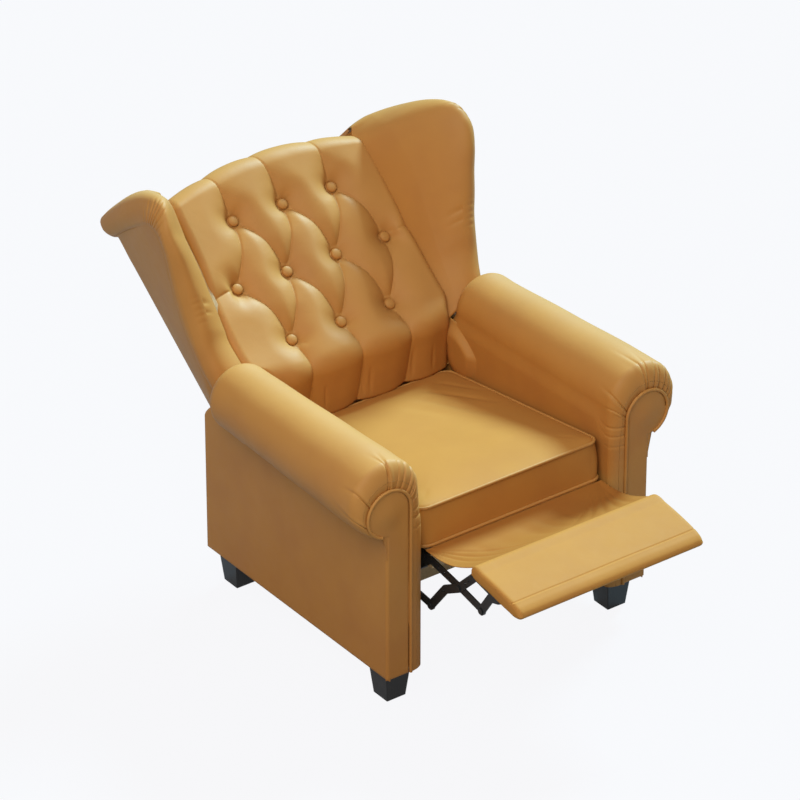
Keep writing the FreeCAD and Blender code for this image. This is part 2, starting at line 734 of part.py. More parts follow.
def back_pad():
    """The tufted pad: a crowned slab with a round foot about the hinge line, folds cut between the buttons."""
    hinge_s = back_point(hinge_y, hinge_z)[1]
    radius = (pad_front_n - pad_rear_n) / 2 - 1
    centre_n = (pad_front_n + pad_rear_n) / 2
    shoulder_x = pad_half_width - pad_corner
    half = [(shoulder_x, top_edge(shoulder_x)), (pad_half_width, pad_top_s - pad_corner),
            (pad_half_width, hinge_s + 105), (pad_foot_half_width, hinge_s + 50), (pad_foot_half_width, hinge_s)]
    wide = half + [(-x, s) for x, s in reversed(half)]
    middle_s = (hinge_s + pad_top_s) / 2
    wires = []
    for n, inset in ((pad_rear_n, 0.0), (pad_front_n - 20, 0.0), (pad_front_n - 8, 5.0), (pad_front_n, 18.0)):
        share = 1 - inset / pad_half_width
        corners = [V(x * share, -n, middle_s + (s - middle_s) * share) for x, s in wide]
        crown = V(0, -n, middle_s + (top_edge(0) - middle_s) * share)
        edges = [Part.LineSegment(a, b).toShape() for a, b in zip(corners, corners[1:])]
        wires.append(Part.Wire(edges + [Part.Arc(corners[-1], crown, corners[0]).toShape()]))
    slab = Part.makeLoft(wires, True, True)
    foot = Part.makeCylinder(radius, 2 * pad_foot_half_width, V(-pad_foot_half_width, -centre_n, hinge_s), V(1, 0, 0))
    pad = slab.fuse(foot)
    for x, s in button_spots():
        dent = Part.makeCone(5.0, 40.0, tuft_depth + 2, V(x, tuft_depth - pad_front_n, s), V(0, -1, 0))
        pad = pad.cut(dent)
    for start, end in fold_lines(hinge_s):
        pad = pad.cut(fold(start, end))
    return max(pad.Solids, key=lambda solid: solid.Volume)


def fold_lines(hinge_s):
    """The diagonals between neighbouring buttons, and the folds to the top and foot of the pad."""
    spots = button_spots()
    lines = []
    for i, a in enumerate(spots):
        for b in spots[i + 1:]:
            if abs(abs(a[0] - b[0]) - button_pitch / 2) < 1 and abs(abs(a[1] - b[1]) - button_rows) < 1:
                lines.append((a, b))
        if a[1] > 0:
            lines.append((a, (a[0] - 12, top_edge(a[0]))))
        if a[1] < 0:
            lines.append((a, (a[0] - 10, hinge_s + 20)))
    return lines


def fold(start, end):
    """A shallow V groove in the pad's front."""
    dx = end[0] - start[0]
    ds = end[1] - start[1]
    length = math.hypot(dx, ds)
    corners = [V(0, -pad_front_n + fold_depth, 0), V(-fold_half_width, -pad_front_n - 1, 0),
               V(fold_half_width, -pad_front_n - 1, 0)]
    groove = Part.Face(Part.makePolygon(corners + corners[:1])).extrude(V(0, 0, length))
    groove.rotate(V(0, 0, 0), V(0, 1, 0), math.degrees(math.atan2(dx, ds)))
    groove.translate(V(start[0], 0, start[1]))
    return groove


def button(x, s):
    """A covered button: a cap of a ball, flat behind."""
    sphere_radius = (button_radius ** 2 + button_height ** 2) / (2 * button_height)
    ball = Part.makeSphere(sphere_radius, V(x, sphere_radius - button_height, s))
    return ball.common(Part.makeCylinder(button_radius + 1, button_height + 1, V(x, 0, s), V(0, -1, 0)))


def build_back():
    buttons = [button(x, s) for x, s in button_spots()]
    pad = back_pad()
    for piece in buttons:
        pad = pad.cut(piece)
    put("back_pad", in_back(pad))
    put("back_buttons", *[in_back(piece) for piece in buttons])
    board_n = pad_rear_n - back_board_thickness
    put("back_board", in_back(crowned_panel(hinge_plate_x, back_board_foot_s, -back_top_step, -pad_rear_n, -board_n)))
    frame_top_s = pad_top_s - back_top_step
    stile = box(hinge_plate_x - stile_width, hinge_plate_x, -board_n, -board_n + stile_depth,
                back_board_foot_s, frame_top_s)
    put("back_stiles", *both(in_back(stile)))
    rail_x = hinge_plate_x - stile_width
    rail_rear_n = rear_cover_n + rear_cover_thickness
    rails = [in_back(box(-rail_x, rail_x, -board_n, -rail_rear_n, low, low + back_rail_height))
             for low in (frame_top_s - back_rail_height, rear_cover_foot_s + 6)]
    put("back_rails", *rails)
    put("rear_cover", in_back(rear_cover()))


def rear_cover():
    """Flat cover over the rear of the back, in the back's own frame."""
    return crowned_panel(rear_cover_half_width, rear_cover_foot_s, back_top_step,
                         -rear_cover_n - rear_cover_thickness, -rear_cover_n)


def wing_section(s):
    """Corners of the wing across the back, as (x, n): root, inner front, outer front, rear.
    The stations are (s, distance out from the root, n)."""
    inner_x, inner_n = edge_along(s, ((-260, 52, -20), (-225, 55, 0), (-195, 64, 24), (-160, 67, 61),
                                      (-80, 72, 103), (0, 90, 158), (80, 109, 209), (140, 116, 225), (300, 118, 222)))
    outer_x, outer_n = edge_along(s, ((-260, 70, -60), (-225, 72, -50), (-195, 90, -38), (-160, 108, -6),
                                      (-80, 124, 31), (0, 139, 82), (80, 151, 148), (140, 158, 173), (300, 159, 170)))
    rear_x = edge_along(s, ((-260, 58, 0), (-225, 62, 0), (0, 76, 0), (300, 83, 0)))[0]
    root_x = wing_root_x
    return [(root_x, pad_front_n - 24), (root_x + inner_x, inner_n), (root_x + outer_x, outer_n),
            (root_x + rear_x, rear_cover_n), (root_x, rear_cover_n)]


def edge_along(s, table):
    """A place between the measured stations (s, x, n) of one edge of the wing."""
    for (s0, x0, n0), (s1, x1, n1) in zip(table, table[1:]):
        if s <= s1:
            share = (s - s0) / (s1 - s0)
            return (x0 + (x1 - x0) * share, n0 + (n1 - n0) * share)
    return table[-1][1:]


def wing_wire(s):
    """The section with its two front corners rounded."""
    points = [V(x, -n, s) for x, n in wing_section(s)]
    root, inner, outer, rear, root_rear = points
    edges = []
    rounded = []
    for before, corner, after in ((root, inner, outer), (inner, outer, rear)):
        radius_cut = min(26.0, (corner - after).Length * 0.4, (corner - before).Length * 0.4)
        a = corner + (before - corner).normalize() * radius_cut
        b = corner + (after - corner).normalize() * radius_cut
        middle = corner * 0.5 + (a + b) * 0.25
        rounded.append((a, middle, b))
    edges.append(Part.LineSegment(root, rounded[0][0]).toShape())
    edges.append(Part.Arc(*rounded[0]).toShape())
    edges.append(Part.LineSegment(rounded[0][2], rounded[1][0]).toShape())
    edges.append(Part.Arc(*rounded[1]).toShape())
    edges.append(Part.LineSegment(rounded[1][2], rear).toShape())
    edges.append(Part.LineSegment(rear, root_rear).toShape())
    edges.append(Part.LineSegment(root_rear, root).toShape())
    return Part.Wire(edges)


def wing_outline():
    """The wing seen from the side, as (n, s) with round stretches as arcs, made into a solid wide enough to cut."""
    points = [(rear_cover_n, rear_cover_foot_s), (-62, rear_cover_foot_s), (-12, -203), (66, -163), (260, -150),
              (260, 130), (228, 150)]
    vectors = [V(0, -n, s) for n, s in points]
    edges = [Part.LineSegment(a, b).toShape() for a, b in zip(vectors, vectors[1:])]
    top_front = V(0, -188, 214)
    edges.append(Part.Arc(vectors[-1], V(0, -216, 185), top_front).toShape())
    shoulder = V(0, -110, 249)
    edges.append(Part.Arc(top_front, V(0, -152, 237), shoulder).toShape())
    tail = V(0, -rear_cover_n, 290)
    edges.append(Part.LineSegment(shoulder, tail).toShape())
    edges.append(Part.LineSegment(tail, vectors[0]).toShape())
    return Part.Face(Part.Wire(edges)).extrude(V(600, 0, 0))


def build_wings():
    stations = [-260, -225, -195, -160, -80, 0, 80, 140, 300]
    body = Part.makeLoft([wing_wire(s) for s in stations], True, True)
    wing = body.common(wing_outline())
    roll_start, roll_end = [V(wing_root_x + out, -n, s) for out, n, s in (wing_roll_rear, wing_roll_front)]
    direction = roll_end - roll_start
    roll = Part.makeCylinder(wing_roll_radius, direction.Length, roll_start, direction)
    roll = roll.fuse(Part.makeSphere(wing_roll_radius, roll_start))
    wing = wing.fuse(roll)
    frame_x = wing_root_x + wing_frame_inset
    frame = box(frame_x, frame_x + wing_frame_thickness, -20, -rear_cover_n - rear_cover_thickness - 3,
                wing_frame_foot_s, wing_frame_top_s)
    wing = wing.cut(frame)
    wing = wing.cut(rear_cover())
    wing = max(wing.Solids, key=lambda solid: solid.Volume)
    put_pair("wing_pad", in_back(wing))
    put("wing_frames", *both(in_back(frame)))


def build_hinges():
    x0 = hinge_plate_x
    x1 = x0 + hinge_plate
    n_hinge, s_hinge = back_point(hinge_y, hinge_z)
    lower = prism_back([(n_hinge - 14, s_hinge), (-95, -225), (-100, -150), (-62, -150), (-62, -240),
                        (n_hinge + 13, s_hinge)], x0, x1)
    plate = lower.fuse(rod_x(hinge_y, hinge_z, hinge_eye, x0, x1)).removeSplitter()
    plate = plate.cut(rod_x(hinge_y, hinge_z, hinge_bolt_radius + pin_clearance, x0 - 1, x1 + 1))
    put("back_hinge_plates", *both(plate))
    b0 = x1 + plate_gap
    b1 = b0 + hinge_plate
    foot_rear = hinge_y + hinge_eye + 1.0
    foot_front = foot_rear - bracket_foot_length
    foot_low = slide_rail_z + runner_height / 2 + 3.0
    foot_high = foot_low + bracket_foot_height
    upright = prism_x([(hinge_y - hinge_eye, hinge_z), (foot_front, foot_high), (foot_rear, foot_high),
                       (hinge_y + hinge_eye, hinge_z)], b0, b1)
    bracket = upright.fuse(rod_x(hinge_y, hinge_z, hinge_eye, b0, b1))
    bracket = bracket.fuse(box(plate_outer_x(), b1, foot_front, foot_rear, foot_low, foot_high)).removeSplitter()
    bracket = bracket.cut(rod_x(hinge_y, hinge_z, hinge_bolt_radius, b0 - 1, b1 + 1))
    put("hinge_brackets", *both(bracket))
    bolt = rod_x(hinge_y, hinge_z, hinge_bolt_radius, x0, b1)
    bolt = bolt.fuse(rod_x(hinge_y, hinge_z, hinge_bolt_radius + 4, b1, b1 + 1.5)).removeSplitter()
    put("back_pivot_bolts", *both(bolt))


def prism_back(points, x0, x1):
    """A side outline in the back's own (n, s), pushed along X and set in place."""
    corners = [V(x0, -n, s) for n, s in points]
    face = Part.Face(Part.makePolygon(corners + corners[:1]))
    return in_back(face.extrude(V(x1 - x0, 0, 0)))


build_legs()
build_leg_hardware()
build_arms()
build_base_cross_pieces()
put("slide_rails", *both(slide_rail()))
put("slide_runners", *both(slide_runner()))
build_seat()
put_pair("mechanism_plate", mechanism_plate())
build_links()
build_footrest()
build_flap()
build_back()
build_wings()
build_hinges()
print("rear pivot", rear_pivot(), "front link top", front_link_top(), "footrest turns about", footrest_centre())
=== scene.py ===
import bpy
import json
import math
import random
import numpy as np
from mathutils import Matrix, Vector


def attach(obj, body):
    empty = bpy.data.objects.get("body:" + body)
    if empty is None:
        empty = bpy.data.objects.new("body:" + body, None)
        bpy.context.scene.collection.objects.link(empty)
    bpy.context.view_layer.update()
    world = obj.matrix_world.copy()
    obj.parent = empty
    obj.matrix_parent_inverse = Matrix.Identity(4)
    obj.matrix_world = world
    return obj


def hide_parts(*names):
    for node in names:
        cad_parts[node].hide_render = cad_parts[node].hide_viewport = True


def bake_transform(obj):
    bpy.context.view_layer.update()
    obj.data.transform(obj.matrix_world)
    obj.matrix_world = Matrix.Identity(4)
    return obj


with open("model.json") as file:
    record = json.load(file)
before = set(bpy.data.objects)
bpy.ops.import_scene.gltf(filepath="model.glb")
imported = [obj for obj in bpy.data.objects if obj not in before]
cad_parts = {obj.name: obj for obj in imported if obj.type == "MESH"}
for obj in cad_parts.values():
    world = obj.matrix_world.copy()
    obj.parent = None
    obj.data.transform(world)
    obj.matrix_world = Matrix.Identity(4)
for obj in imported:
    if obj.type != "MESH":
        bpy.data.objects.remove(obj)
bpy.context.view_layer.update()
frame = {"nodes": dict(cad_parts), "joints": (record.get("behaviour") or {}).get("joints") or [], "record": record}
mm = 0.001

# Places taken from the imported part
joints = {joint["name"]: joint for joint in frame["joints"]}
hinge = Vector(joints["back_recline"]["pos_m"]) / mm
shift = hinge.y - 167.0                      # the part's own y lines are counted from here
backTilt = math.radians(47.5)
backStart = (hinge.y + 216.1, hinge.z + 207.9)      # middle row of buttons, in the side view
seatTilt = math.radians(8.2)
seatFront = (-356.0 + shift, 355.0)
restSlope = math.radians(10.5)
restInner = (-527.0 + shift, 415.0)


def inChair(x, y, z):
    return np.stack([x, y + shift, z], axis=-1) * mm


def inBack(x, n, s):
    # s runs up the back, n out of it towards the sitter
    y = backStart[0] + s * math.sin(backTilt) - n * math.cos(backTilt)
    z = backStart[1] + s * math.cos(backTilt) + n * math.sin(backTilt)
    return np.stack([x, y, z], axis=-1) * mm


def inSeat(x, y, z):
    back = seatFront[0] + y * math.cos(seatTilt) + z * math.sin(seatTilt)
    up = seatFront[1] - y * math.sin(seatTilt) + z * math.cos(seatTilt)
    return np.stack([x, back, up], axis=-1) * mm


def inRest(x, y, z):
    back = restInner[0] + y * math.cos(restSlope) - z * math.sin(restSlope)
    up = restInner[1] + y * math.sin(restSlope) + z * math.cos(restSlope)
    return np.stack([x, back, up], axis=-1) * mm


# Tools for shaping

def deselectAll():
    if bpy.context.object and bpy.context.object.mode != "OBJECT":
        bpy.ops.object.mode_set(mode="OBJECT")
    bpy.ops.object.select_all(action="DESELECT")


def pick(piece):
    deselectAll()
    piece.select_set(True)
    bpy.context.view_layer.objects.active = piece


def cornersOf(piece):
    corners = np.empty(len(piece.data.vertices) * 3)
    piece.data.vertices.foreach_get("co", corners)
    return corners.reshape(-1, 3)


def moveCorners(piece, corners):
    piece.data.vertices.foreach_set("co", corners.ravel())
    piece.data.update()


def addPiece(name, operator, **settings):
    deselectAll()
    operator(**settings)
    piece = bpy.context.object
    piece.name = piece.data.name = name
    return piece


def shapedGrid(name, columns, rows, place):
    # a grid whose corners all go to place(across, along), both running from 0 to 1
    piece = addPiece(name, bpy.ops.mesh.primitive_grid_add, x_subdivisions=columns, y_subdivisions=rows, size=1)
    corners = cornersOf(piece)
    across = np.round((corners[:, 0] + 0.5) * columns) / columns
    along = np.round((corners[:, 1] + 0.5) * rows) / rows
    moveCorners(piece, place(across, along))
    return piece


def closeUp(piece, reach=0.02, fill=True):
    # joins edges that meet, fills what is open and turns the faces outwards
    pick(piece)
    bpy.ops.object.mode_set(mode="EDIT")
    bpy.ops.mesh.select_all(action="SELECT")
    bpy.ops.mesh.remove_doubles(threshold=reach * mm)
    bpy.ops.mesh.select_all(action="DESELECT")
    bpy.ops.mesh.select_mode(type="EDGE")
    bpy.ops.mesh.select_non_manifold()
    if fill:
        bpy.ops.mesh.fill_holes(sides=0)
    bpy.ops.mesh.select_all(action="SELECT")
    bpy.ops.mesh.normals_make_consistent(inside=False)
    bpy.ops.object.mode_set(mode="OBJECT")


def joinTo(piece, *others):
    pick(piece)
    for other in others:
        other.select_set(True)
    bpy.ops.object.join()


def useModifier(piece, kind, **settings):
    pick(piece)
    modifier = piece.modifiers.new(kind.title(), kind)
    for key, value in settings.items():
        setattr(modifier, key, value)
    bpy.ops.object.modifier_apply(modifier=modifier.name)


def smoothShade(piece, angle=None):
    pick(piece)
    if angle is None:
        bpy.ops.object.shade_smooth()
    else:
        bpy.ops.object.shade_smooth_by_angle(angle=math.radians(angle))


def thicken(piece, thick, angle):
    # a closed shell grown rearwards from a surface, with its sharp edges kept
    useModifier(piece, "SOLIDIFY", thickness=thick * mm, offset=-1.0)
    closeUp(piece, 0.001)
    smoothShade(piece, angle)


def mirrorCopy(piece, name):
    # the same piece on the sitter's other side, with its own mesh
    pick(piece)
    bpy.ops.object.duplicate()
    other = bpy.context.object
    other.name = other.data.name = name
    moveCorners(other, cornersOf(other) * (-1, 1, 1))
    bpy.ops.object.mode_set(mode="EDIT")
    bpy.ops.mesh.select_all(action="SELECT")
    bpy.ops.mesh.flip_normals()
    bpy.ops.object.mode_set(mode="OBJECT")
    return other


def finishPiece(piece, material, body=None, stands=()):
    piece.data.materials.clear()
    piece.data.materials.append(material)
    if body:
        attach(piece, body)
    if stands:
        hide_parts(*stands)
    return piece


def finishPair(piece, name, node):
    # the left arm's piece, and its copy for the right arm
    for one, part in ((piece, "left_" + node), (mirrorCopy(piece, name), "right_" + node)):
        finishPiece(one, hide, "base", (part,))


def hermite(t, a, b, slopeA, slopeB):
    return ((2 * t**3 - 3 * t**2 + 1) * a + (t**3 - 2 * t**2 + t) * slopeA
            + (3 * t**2 - 2 * t**3) * b + (t**3 - t**2) * slopeB)


def through(points, share, evenly=False):
    # a smooth line through the points, share from 0 to 1 by distance along them, or evenly from point to point
    points = np.array(points, float)
    steps = np.linalg.norm(np.diff(points, axis=0), axis=1)
    knots = np.linspace(0, 1, len(points)) if evenly else np.concatenate([[0.0], np.cumsum(steps)]) / steps.sum()
    slopes = np.gradient(points, knots, axis=0)
    index = np.clip(np.searchsorted(knots, share, side="right") - 1, 0, len(knots) - 2)
    width = (knots[index + 1] - knots[index])[..., None]
    t = (share - knots[index])[..., None] / width
    return hermite(t, points[index], points[index + 1], width * slopes[index], width * slopes[index + 1])


def distanceTo(x, y, line):
    # nearest distance to a line of points, how far along it that is, and on which side
    best = np.full(np.shape(x), 1e9)
    share = np.zeros(np.shape(x))
    side = np.zeros(np.shape(x))
    count = len(line) - 1
    for i in range(count):
        (ax, ay), (bx, by) = line[i], line[i + 1]
        dx, dy = bx - ax, by - ay
        t = np.clip(((x - ax) * dx + (y - ay) * dy) / (dx * dx + dy * dy), 0, 1)
        away = np.hypot(x - ax - t * dx, y - ay - t * dy)
        near = away < best
        best = np.where(near, away, best)
        share = np.where(near, (i + t) / count, share)
        side = np.where(near, np.sign((x - ax) * dy - (y - ay) * dx), side)
    return best, share, side


def bowed(start, end, bow, count=12):
    # points from start to end, pushed aside by bow = (dx, dy) in the middle
    points = []
    for i in range(count + 1):
        t = i / count
        lift = 4 * t * (1 - t)
        points.append((start[0] + (end[0] - start[0]) * t + bow[0] * lift,
                       start[1] + (end[1] - start[1]) * t + bow[1] * lift))
    return points


def ease(t):
    t = np.clip(t, 0, 1)
    return t * t * (3 - 2 * t)


def insetIn(a, b, low, high):
    # distance to the nearest side of the box whose corners are low and high, both (a, b)
    return np.minimum(np.minimum(a - low[0], high[0] - a), np.minimum(b - low[1], high[1] - b))


def unit(vectors):
    return vectors / np.maximum(np.linalg.norm(vectors, axis=1), 1e-6)[:, None]


def roundedEdge(inset, radius):
    # how far a face has fallen away at a distance from its edge, for an edge of that radius
    return radius * (1 - np.sqrt(np.maximum(1 - (1 - np.clip(inset / radius, 0, 1)) ** 2, 0)))


def bell(away, wide):
    return np.exp(-(away / wide) ** 2)


# Materials

def fromHex(text):
    # sRGB hex to linear colour
    values = [int(text[i:i + 2], 16) / 255 for i in (1, 3, 5)]
    linear = [v / 12.92 if v <= 0.04045 else ((v + 0.055) / 1.055) ** 2.4 for v in values]
    return (*linear, 1.0)


def addNode(tree, kind, settings=None, links=None, **values):
    # settings are the node's own, values go to its inputs, links join an input to another node's output
    node = tree.nodes.new(kind)
    for key, value in (settings or {}).items():
        setattr(node, key, value)
    for key, value in values.items():
        node.inputs[key.replace("_", " ")].default_value = value
    for key, (other, output) in (links or {}).items():
        tree.links.new(other.outputs[output], node.inputs[key])
    return node


def newMaterial(name):
    material = bpy.data.materials.new(name)
    material.use_nodes = True
    tree = material.node_tree
    tree.nodes.clear()
    return material, tree


def bodyNoise(tree, scale, detail, place=None, **values):
    # noise that stays with the piece; place is a node that stretches it
    source = (place, "Vector") if place else (addNode(tree, "ShaderNodeTexCoord"), "Object")
    return addNode(tree, "ShaderNodeTexNoise", links={"Vector": source}, Scale=scale, Detail=detail, **values)


def stretched(tree, scale):
    place = addNode(tree, "ShaderNodeTexCoord")
    return addNode(tree, "ShaderNodeMapping", links={"Vector": (place, "Object")}, Scale=scale)


def bumped(tree, height, strength, distance, **links):
    return addNode(tree, "ShaderNodeBump", links={"Height": height, **links}, Strength=strength, Distance=distance)


def maths(tree, operation, *inputs, clamp=False):
    # each input is a number or a node with the name of its output
    node = addNode(tree, "ShaderNodeMath", {"operation": operation, "use_clamp": clamp})
    for socket, value in zip(node.inputs, inputs):
        if isinstance(value, tuple):
            tree.links.new(value[0].outputs[value[1]], socket)
        else:
            socket.default_value = value
    return node


def colourMix(tree, factor, dark, light):
    # dark is a hex colour or a node that already gives one
    fixed, joined = {"B": fromHex(light)}, {"Factor": factor}
    if isinstance(dark, str):
        fixed["A"] = fromHex(dark)
    else:
        joined["A"] = (dark, "Result")
    return addNode(tree, "ShaderNodeMix", {"data_type": "RGBA"}, joined, **fixed)


def surfaceOf(material, tree, colour, relief=None, rough=None, **values):
    # the shader that ends a material; relief and rough are nodes that give it a normal and a roughness
    joined = {"Base Color": (colour, "Result")}
    if relief:
        joined["Normal"] = (relief, "Normal")
    if rough:
        joined["Roughness"] = (rough, "Result")
    shader = addNode(tree, "ShaderNodeBsdfPrincipled", links=joined, **values)
    addNode(tree, "ShaderNodeOutputMaterial", links={"Surface": (shader, "BSDF")})
    return material


def leather(name, shine, paintedTopTone):
    # Smooth corrected-grain leather, dyed caramel: even colour with slow cloudy shade, a fine pebble that only
    # softens the highlight, and a satin finish coat. Upward faces are then painted towards a top tone: painted light
    # on the back, arms, seat and footrest, painted shade on the flap. The real grain is about 0.8 mm; it is drawn at
    # 2 mm to show.
    look = {"light": "#BE7F3A", "dark": "#B07232", "rose": "#AC6C34", "cloudSize": 0.16, "grainSize": 0.002,
            "roughness": 0.56}
    material, tree = newMaterial(name)
    cloud = bodyNoise(tree, 1 / look["cloudSize"], 3.0, Roughness=0.5)
    tone = colourMix(tree, (cloud, "Fac"), look["dark"], look["light"])
    blotch = bodyNoise(tree, 9.0, 2.0)
    share = addNode(tree, "ShaderNodeMapRange", links={"Value": (blotch, "Fac")}, From_Min=0.45, From_Max=0.75,
                    To_Max=0.45)
    warm = colourMix(tree, (share, "Result"), tone, look["rose"])
    # painted light: upward faces are painted towards the top tone, which stands for the light falling on them (where
    # that tone is darker, it stands for shade)
    facing = addNode(tree, "ShaderNodeSeparateXYZ",
                     links={"Vector": (addNode(tree, "ShaderNodeNewGeometry"), "Normal")})
    paintedTopShare = addNode(tree, "ShaderNodeMapRange", {"interpolation_type": "SMOOTHSTEP"}, {"Value": (facing, "Z")},
                     From_Min=-0.1, From_Max=1.05, To_Max=0.35)
    paintedTopColour = colourMix(tree, (paintedTopShare, "Result"), warm, paintedTopTone)
    place = addNode(tree, "ShaderNodeTexCoord")
    grain = addNode(tree, "ShaderNodeTexVoronoi", {"feature": "DISTANCE_TO_EDGE"}, {"Vector": (place, "Object")},
                    Scale=1 / look["grainSize"])
    pores = bodyNoise(tree, 900.0, 2.0)
    slow = bodyNoise(tree, 38.0, 3.0)
    both = maths(tree, "MULTIPLY_ADD", (pores, "Fac"), 0.35, (grain, "Distance"))
    fine = bumped(tree, (both, "Value"), 0.10, 0.0006)
    soft = bumped(tree, (slow, "Fac"), 0.25, 0.0016, Normal=(fine, "Normal"))
    gloss = addNode(tree, "ShaderNodeMapRange", links={"Value": (slow, "Fac")},
                    To_Min=look["roughness"] - 0.05, To_Max=look["roughness"] + 0.07)
    return surfaceOf(material, tree, paintedTopColour, soft, gloss, IOR=1.5, Specular_IOR_Level=shine)


def stainedWood():
    # Ash stained black under thin lacquer: the open grain stays as fine lighter furrows along the leg.
    material, tree = newMaterial("black stained ash")
    stretch = stretched(tree, (1.0, 1.0, 0.06))
    grain = bodyNoise(tree, 420.0, 4.0, stretch)
    band = addNode(tree, "ShaderNodeTexWave", {"bands_direction": "X"}, {"Vector": (stretch, "Vector")},
                   Scale=60.0, Distortion=6.0, Detail=2.0)
    mixed = maths(tree, "MULTIPLY", (grain, "Fac"), (band, "Fac"))
    tone = colourMix(tree, (mixed, "Value"), "#080707", "#1E1A18")
    relief = bumped(tree, (grain, "Fac"), 0.35, 0.0006)
    return surfaceOf(material, tree, tone, relief, Roughness=0.5, Coat_Weight=0.1, Coat_Roughness=0.25)


def enamel():
    # Pressed steel in baked black enamel: slight orange peel, dulled by handling.
    material, tree = newMaterial("black enamelled steel")
    peel = bodyNoise(tree, 700.0, 2.0)
    rub = bodyNoise(tree, 60.0, 4.0)
    tone = colourMix(tree, (rub, "Fac"), "#141414", "#242322")
    dull = addNode(tree, "ShaderNodeMapRange", links={"Value": (rub, "Fac")}, To_Min=0.32, To_Max=0.52)
    relief = bumped(tree, (peel, "Fac"), 0.12, 0.0004)
    return surfaceOf(material, tree, tone, relief, dull)


def zincSteel():
    # Zinc plated steel wire and bolts: grey metal with faint cloudy spangle.
    material, tree = newMaterial("zinc plated steel")
    cloud = bodyNoise(tree, 250.0, 3.0)
    tone = colourMix(tree, (cloud, "Fac"), "#9C9C9A", "#BDBDB8")
    rough = addNode(tree, "ShaderNodeMapRange", links={"Value": (cloud, "Fac")}, To_Min=0.28, To_Max=0.45)
    return surfaceOf(material, tree, tone, rough=rough, Metallic=1.0)


def plainStuff(name, dark, light, scale, detail, bump, roughness, stretch=None, distortion=0.0, sheen=0.0):
    # a matt stuff whose one noise gives both its two tones and its relief; bump is (strength, distance)
    material, tree = newMaterial(name)
    place = stretched(tree, stretch) if stretch else None
    fibre = bodyNoise(tree, scale, detail, place, Distortion=distortion)
    tone = colourMix(tree, (fibre, "Fac"), dark, light)
    relief = bumped(tree, (fibre, "Fac"), *bump)
    return surfaceOf(material, tree, tone, relief, Roughness=roughness, Sheen_Weight=sheen)


# the last colour of each leather is painted onto its upward faces: paler, as painted light, for these two; darker, as
# painted shade, for the flap
hide = leather("smooth caramel leather", 0.22, "#C99A55")
mattHide = leather("caramel leather of the seat and footrest", 0.05, "#BC8A48")
shadedFlapHide = leather("caramel leather of the flap with painted shade", 0.03, "#7E4A20")
# raw plywood and beech with long streaks, needled felt over the springs, moulded glides
finishes = {"leather": hide, "leg_wood": stainedWood(), "black_steel": enamel(), "bright_steel": zincSteel(),
            "frame_wood": plainStuff("raw birch plywood", "#A98558", "#D2B07F", 160.0, 5.0, (0.2, 0.0005), 0.62,
                                     stretch=(1.0, 0.08, 1.0)),
            "deck_felt": plainStuff("needled felt", "#2A2724", "#4C4741", 520.0, 5.0, (0.5, 0.0012), 0.92,
                                    distortion=1.5, sheen=0.3),
            "glide": plainStuff("moulded polyethylene", "#232323", "#303030", 1200.0, 2.0, (0.2, 0.0003), 0.6)}
slotOf = {part["node"]: part["material_slot"] for part in frame["record"]["subparts"]}
for node, piece in frame["nodes"].items():
    piece.data.materials.clear()
    piece.data.materials.append(finishes[slotOf[node]])
print("materials ready")


# Back pad

pad = {"halfWidth": 262.0, "footHalfWidth": 252.4, "spread": {1: 4.0, -1: 26.0}, "front": 29.0, "edge": 22.0,
       "side": 50.0, "bellyS": -205.0, "bellyRound": 62.0, "skirt": 98.0, "hem": 14.0,
       "topS": 284.0, "crown": 41.0, "topRound": 46.0, "topDepth": 96.0,
       "pitch": 133.9, "rows": 148.6, "pillow": 64.0, "columns": 320, "along": 400}


def buttonSpots():
    spots = []
    for row, count in ((1, 3), (0, 4), (-1, 3)):
        spots += [((k - (count - 1) / 2) * pad["pitch"], row * pad["rows"]) for k in range(count)]
    return spots


def padFolds():
    # each fold: its line in (x, s), its depth in the middle, how sharp it is
    half, rows = pad["pitch"] / 2, pad["rows"]
    spots = buttonSpots()
    folds = []
    for x, s in spots:
        for side in (1, -1):
            lower = (x + side * half, s - rows)
            if any(abs(lower[0] - bx) < 1 and abs(lower[1] - bs) < 1 for bx, bs in spots):
                folds.append((bowed((x, s), lower, (11, 7 if side > 0 else 0)), 13.0, 1.0))
    for i, (x, s) in enumerate(spots):
        if s > 0:
            folds.append((bowed((x, s), (x - (30, 34, 12)[i], 352), (5, 0)), 5.0, 0.8))
        if s < 0:
            folds.append((bowed((x, s), (x - (17, 11, 13)[i - 7], -372), (13, 0)), 12.0, 1.0))
    folds.append((bowed((-1.5 * pad["pitch"], 0), (-275, -10), (0, 3)), 12.0, 0.9))
    folds.append((bowed((1.5 * pad["pitch"], 0), (275, 4), (0, 2)), 6.0, 0.6))
    return folds


def padCreases():
    # short wrinkles: around the buttons, and in the gathered foot
    rng = random.Random(7)
    creases = []
    for x, s in buttonSpots():
        for angle in (25, 75, 140, 205, 265, 330):
            turn = math.radians(angle + rng.uniform(-18, 18))
            reach = rng.uniform(20, 38)
            start = (x + 12 * math.cos(turn), s + 12 * math.sin(turn))
            end = (x + reach * math.cos(turn), s + reach * math.sin(turn))
            creases.append((start, end, rng.uniform(0.3, 0.9), 3.0))
    for x, low, reach, deep in ((-128, -352, 34, 3.0), (-98, -350, 30, 2.4), (8, -352, 52, 3.6), (24, -350, 34, 2.6),
                                (142, -350, 40, 3.0), (196, -348, 26, 2.0)):
        creases.append(((x, low), (x + rng.uniform(-4, 6), low + reach + 40), deep, 4.0))
    return creases


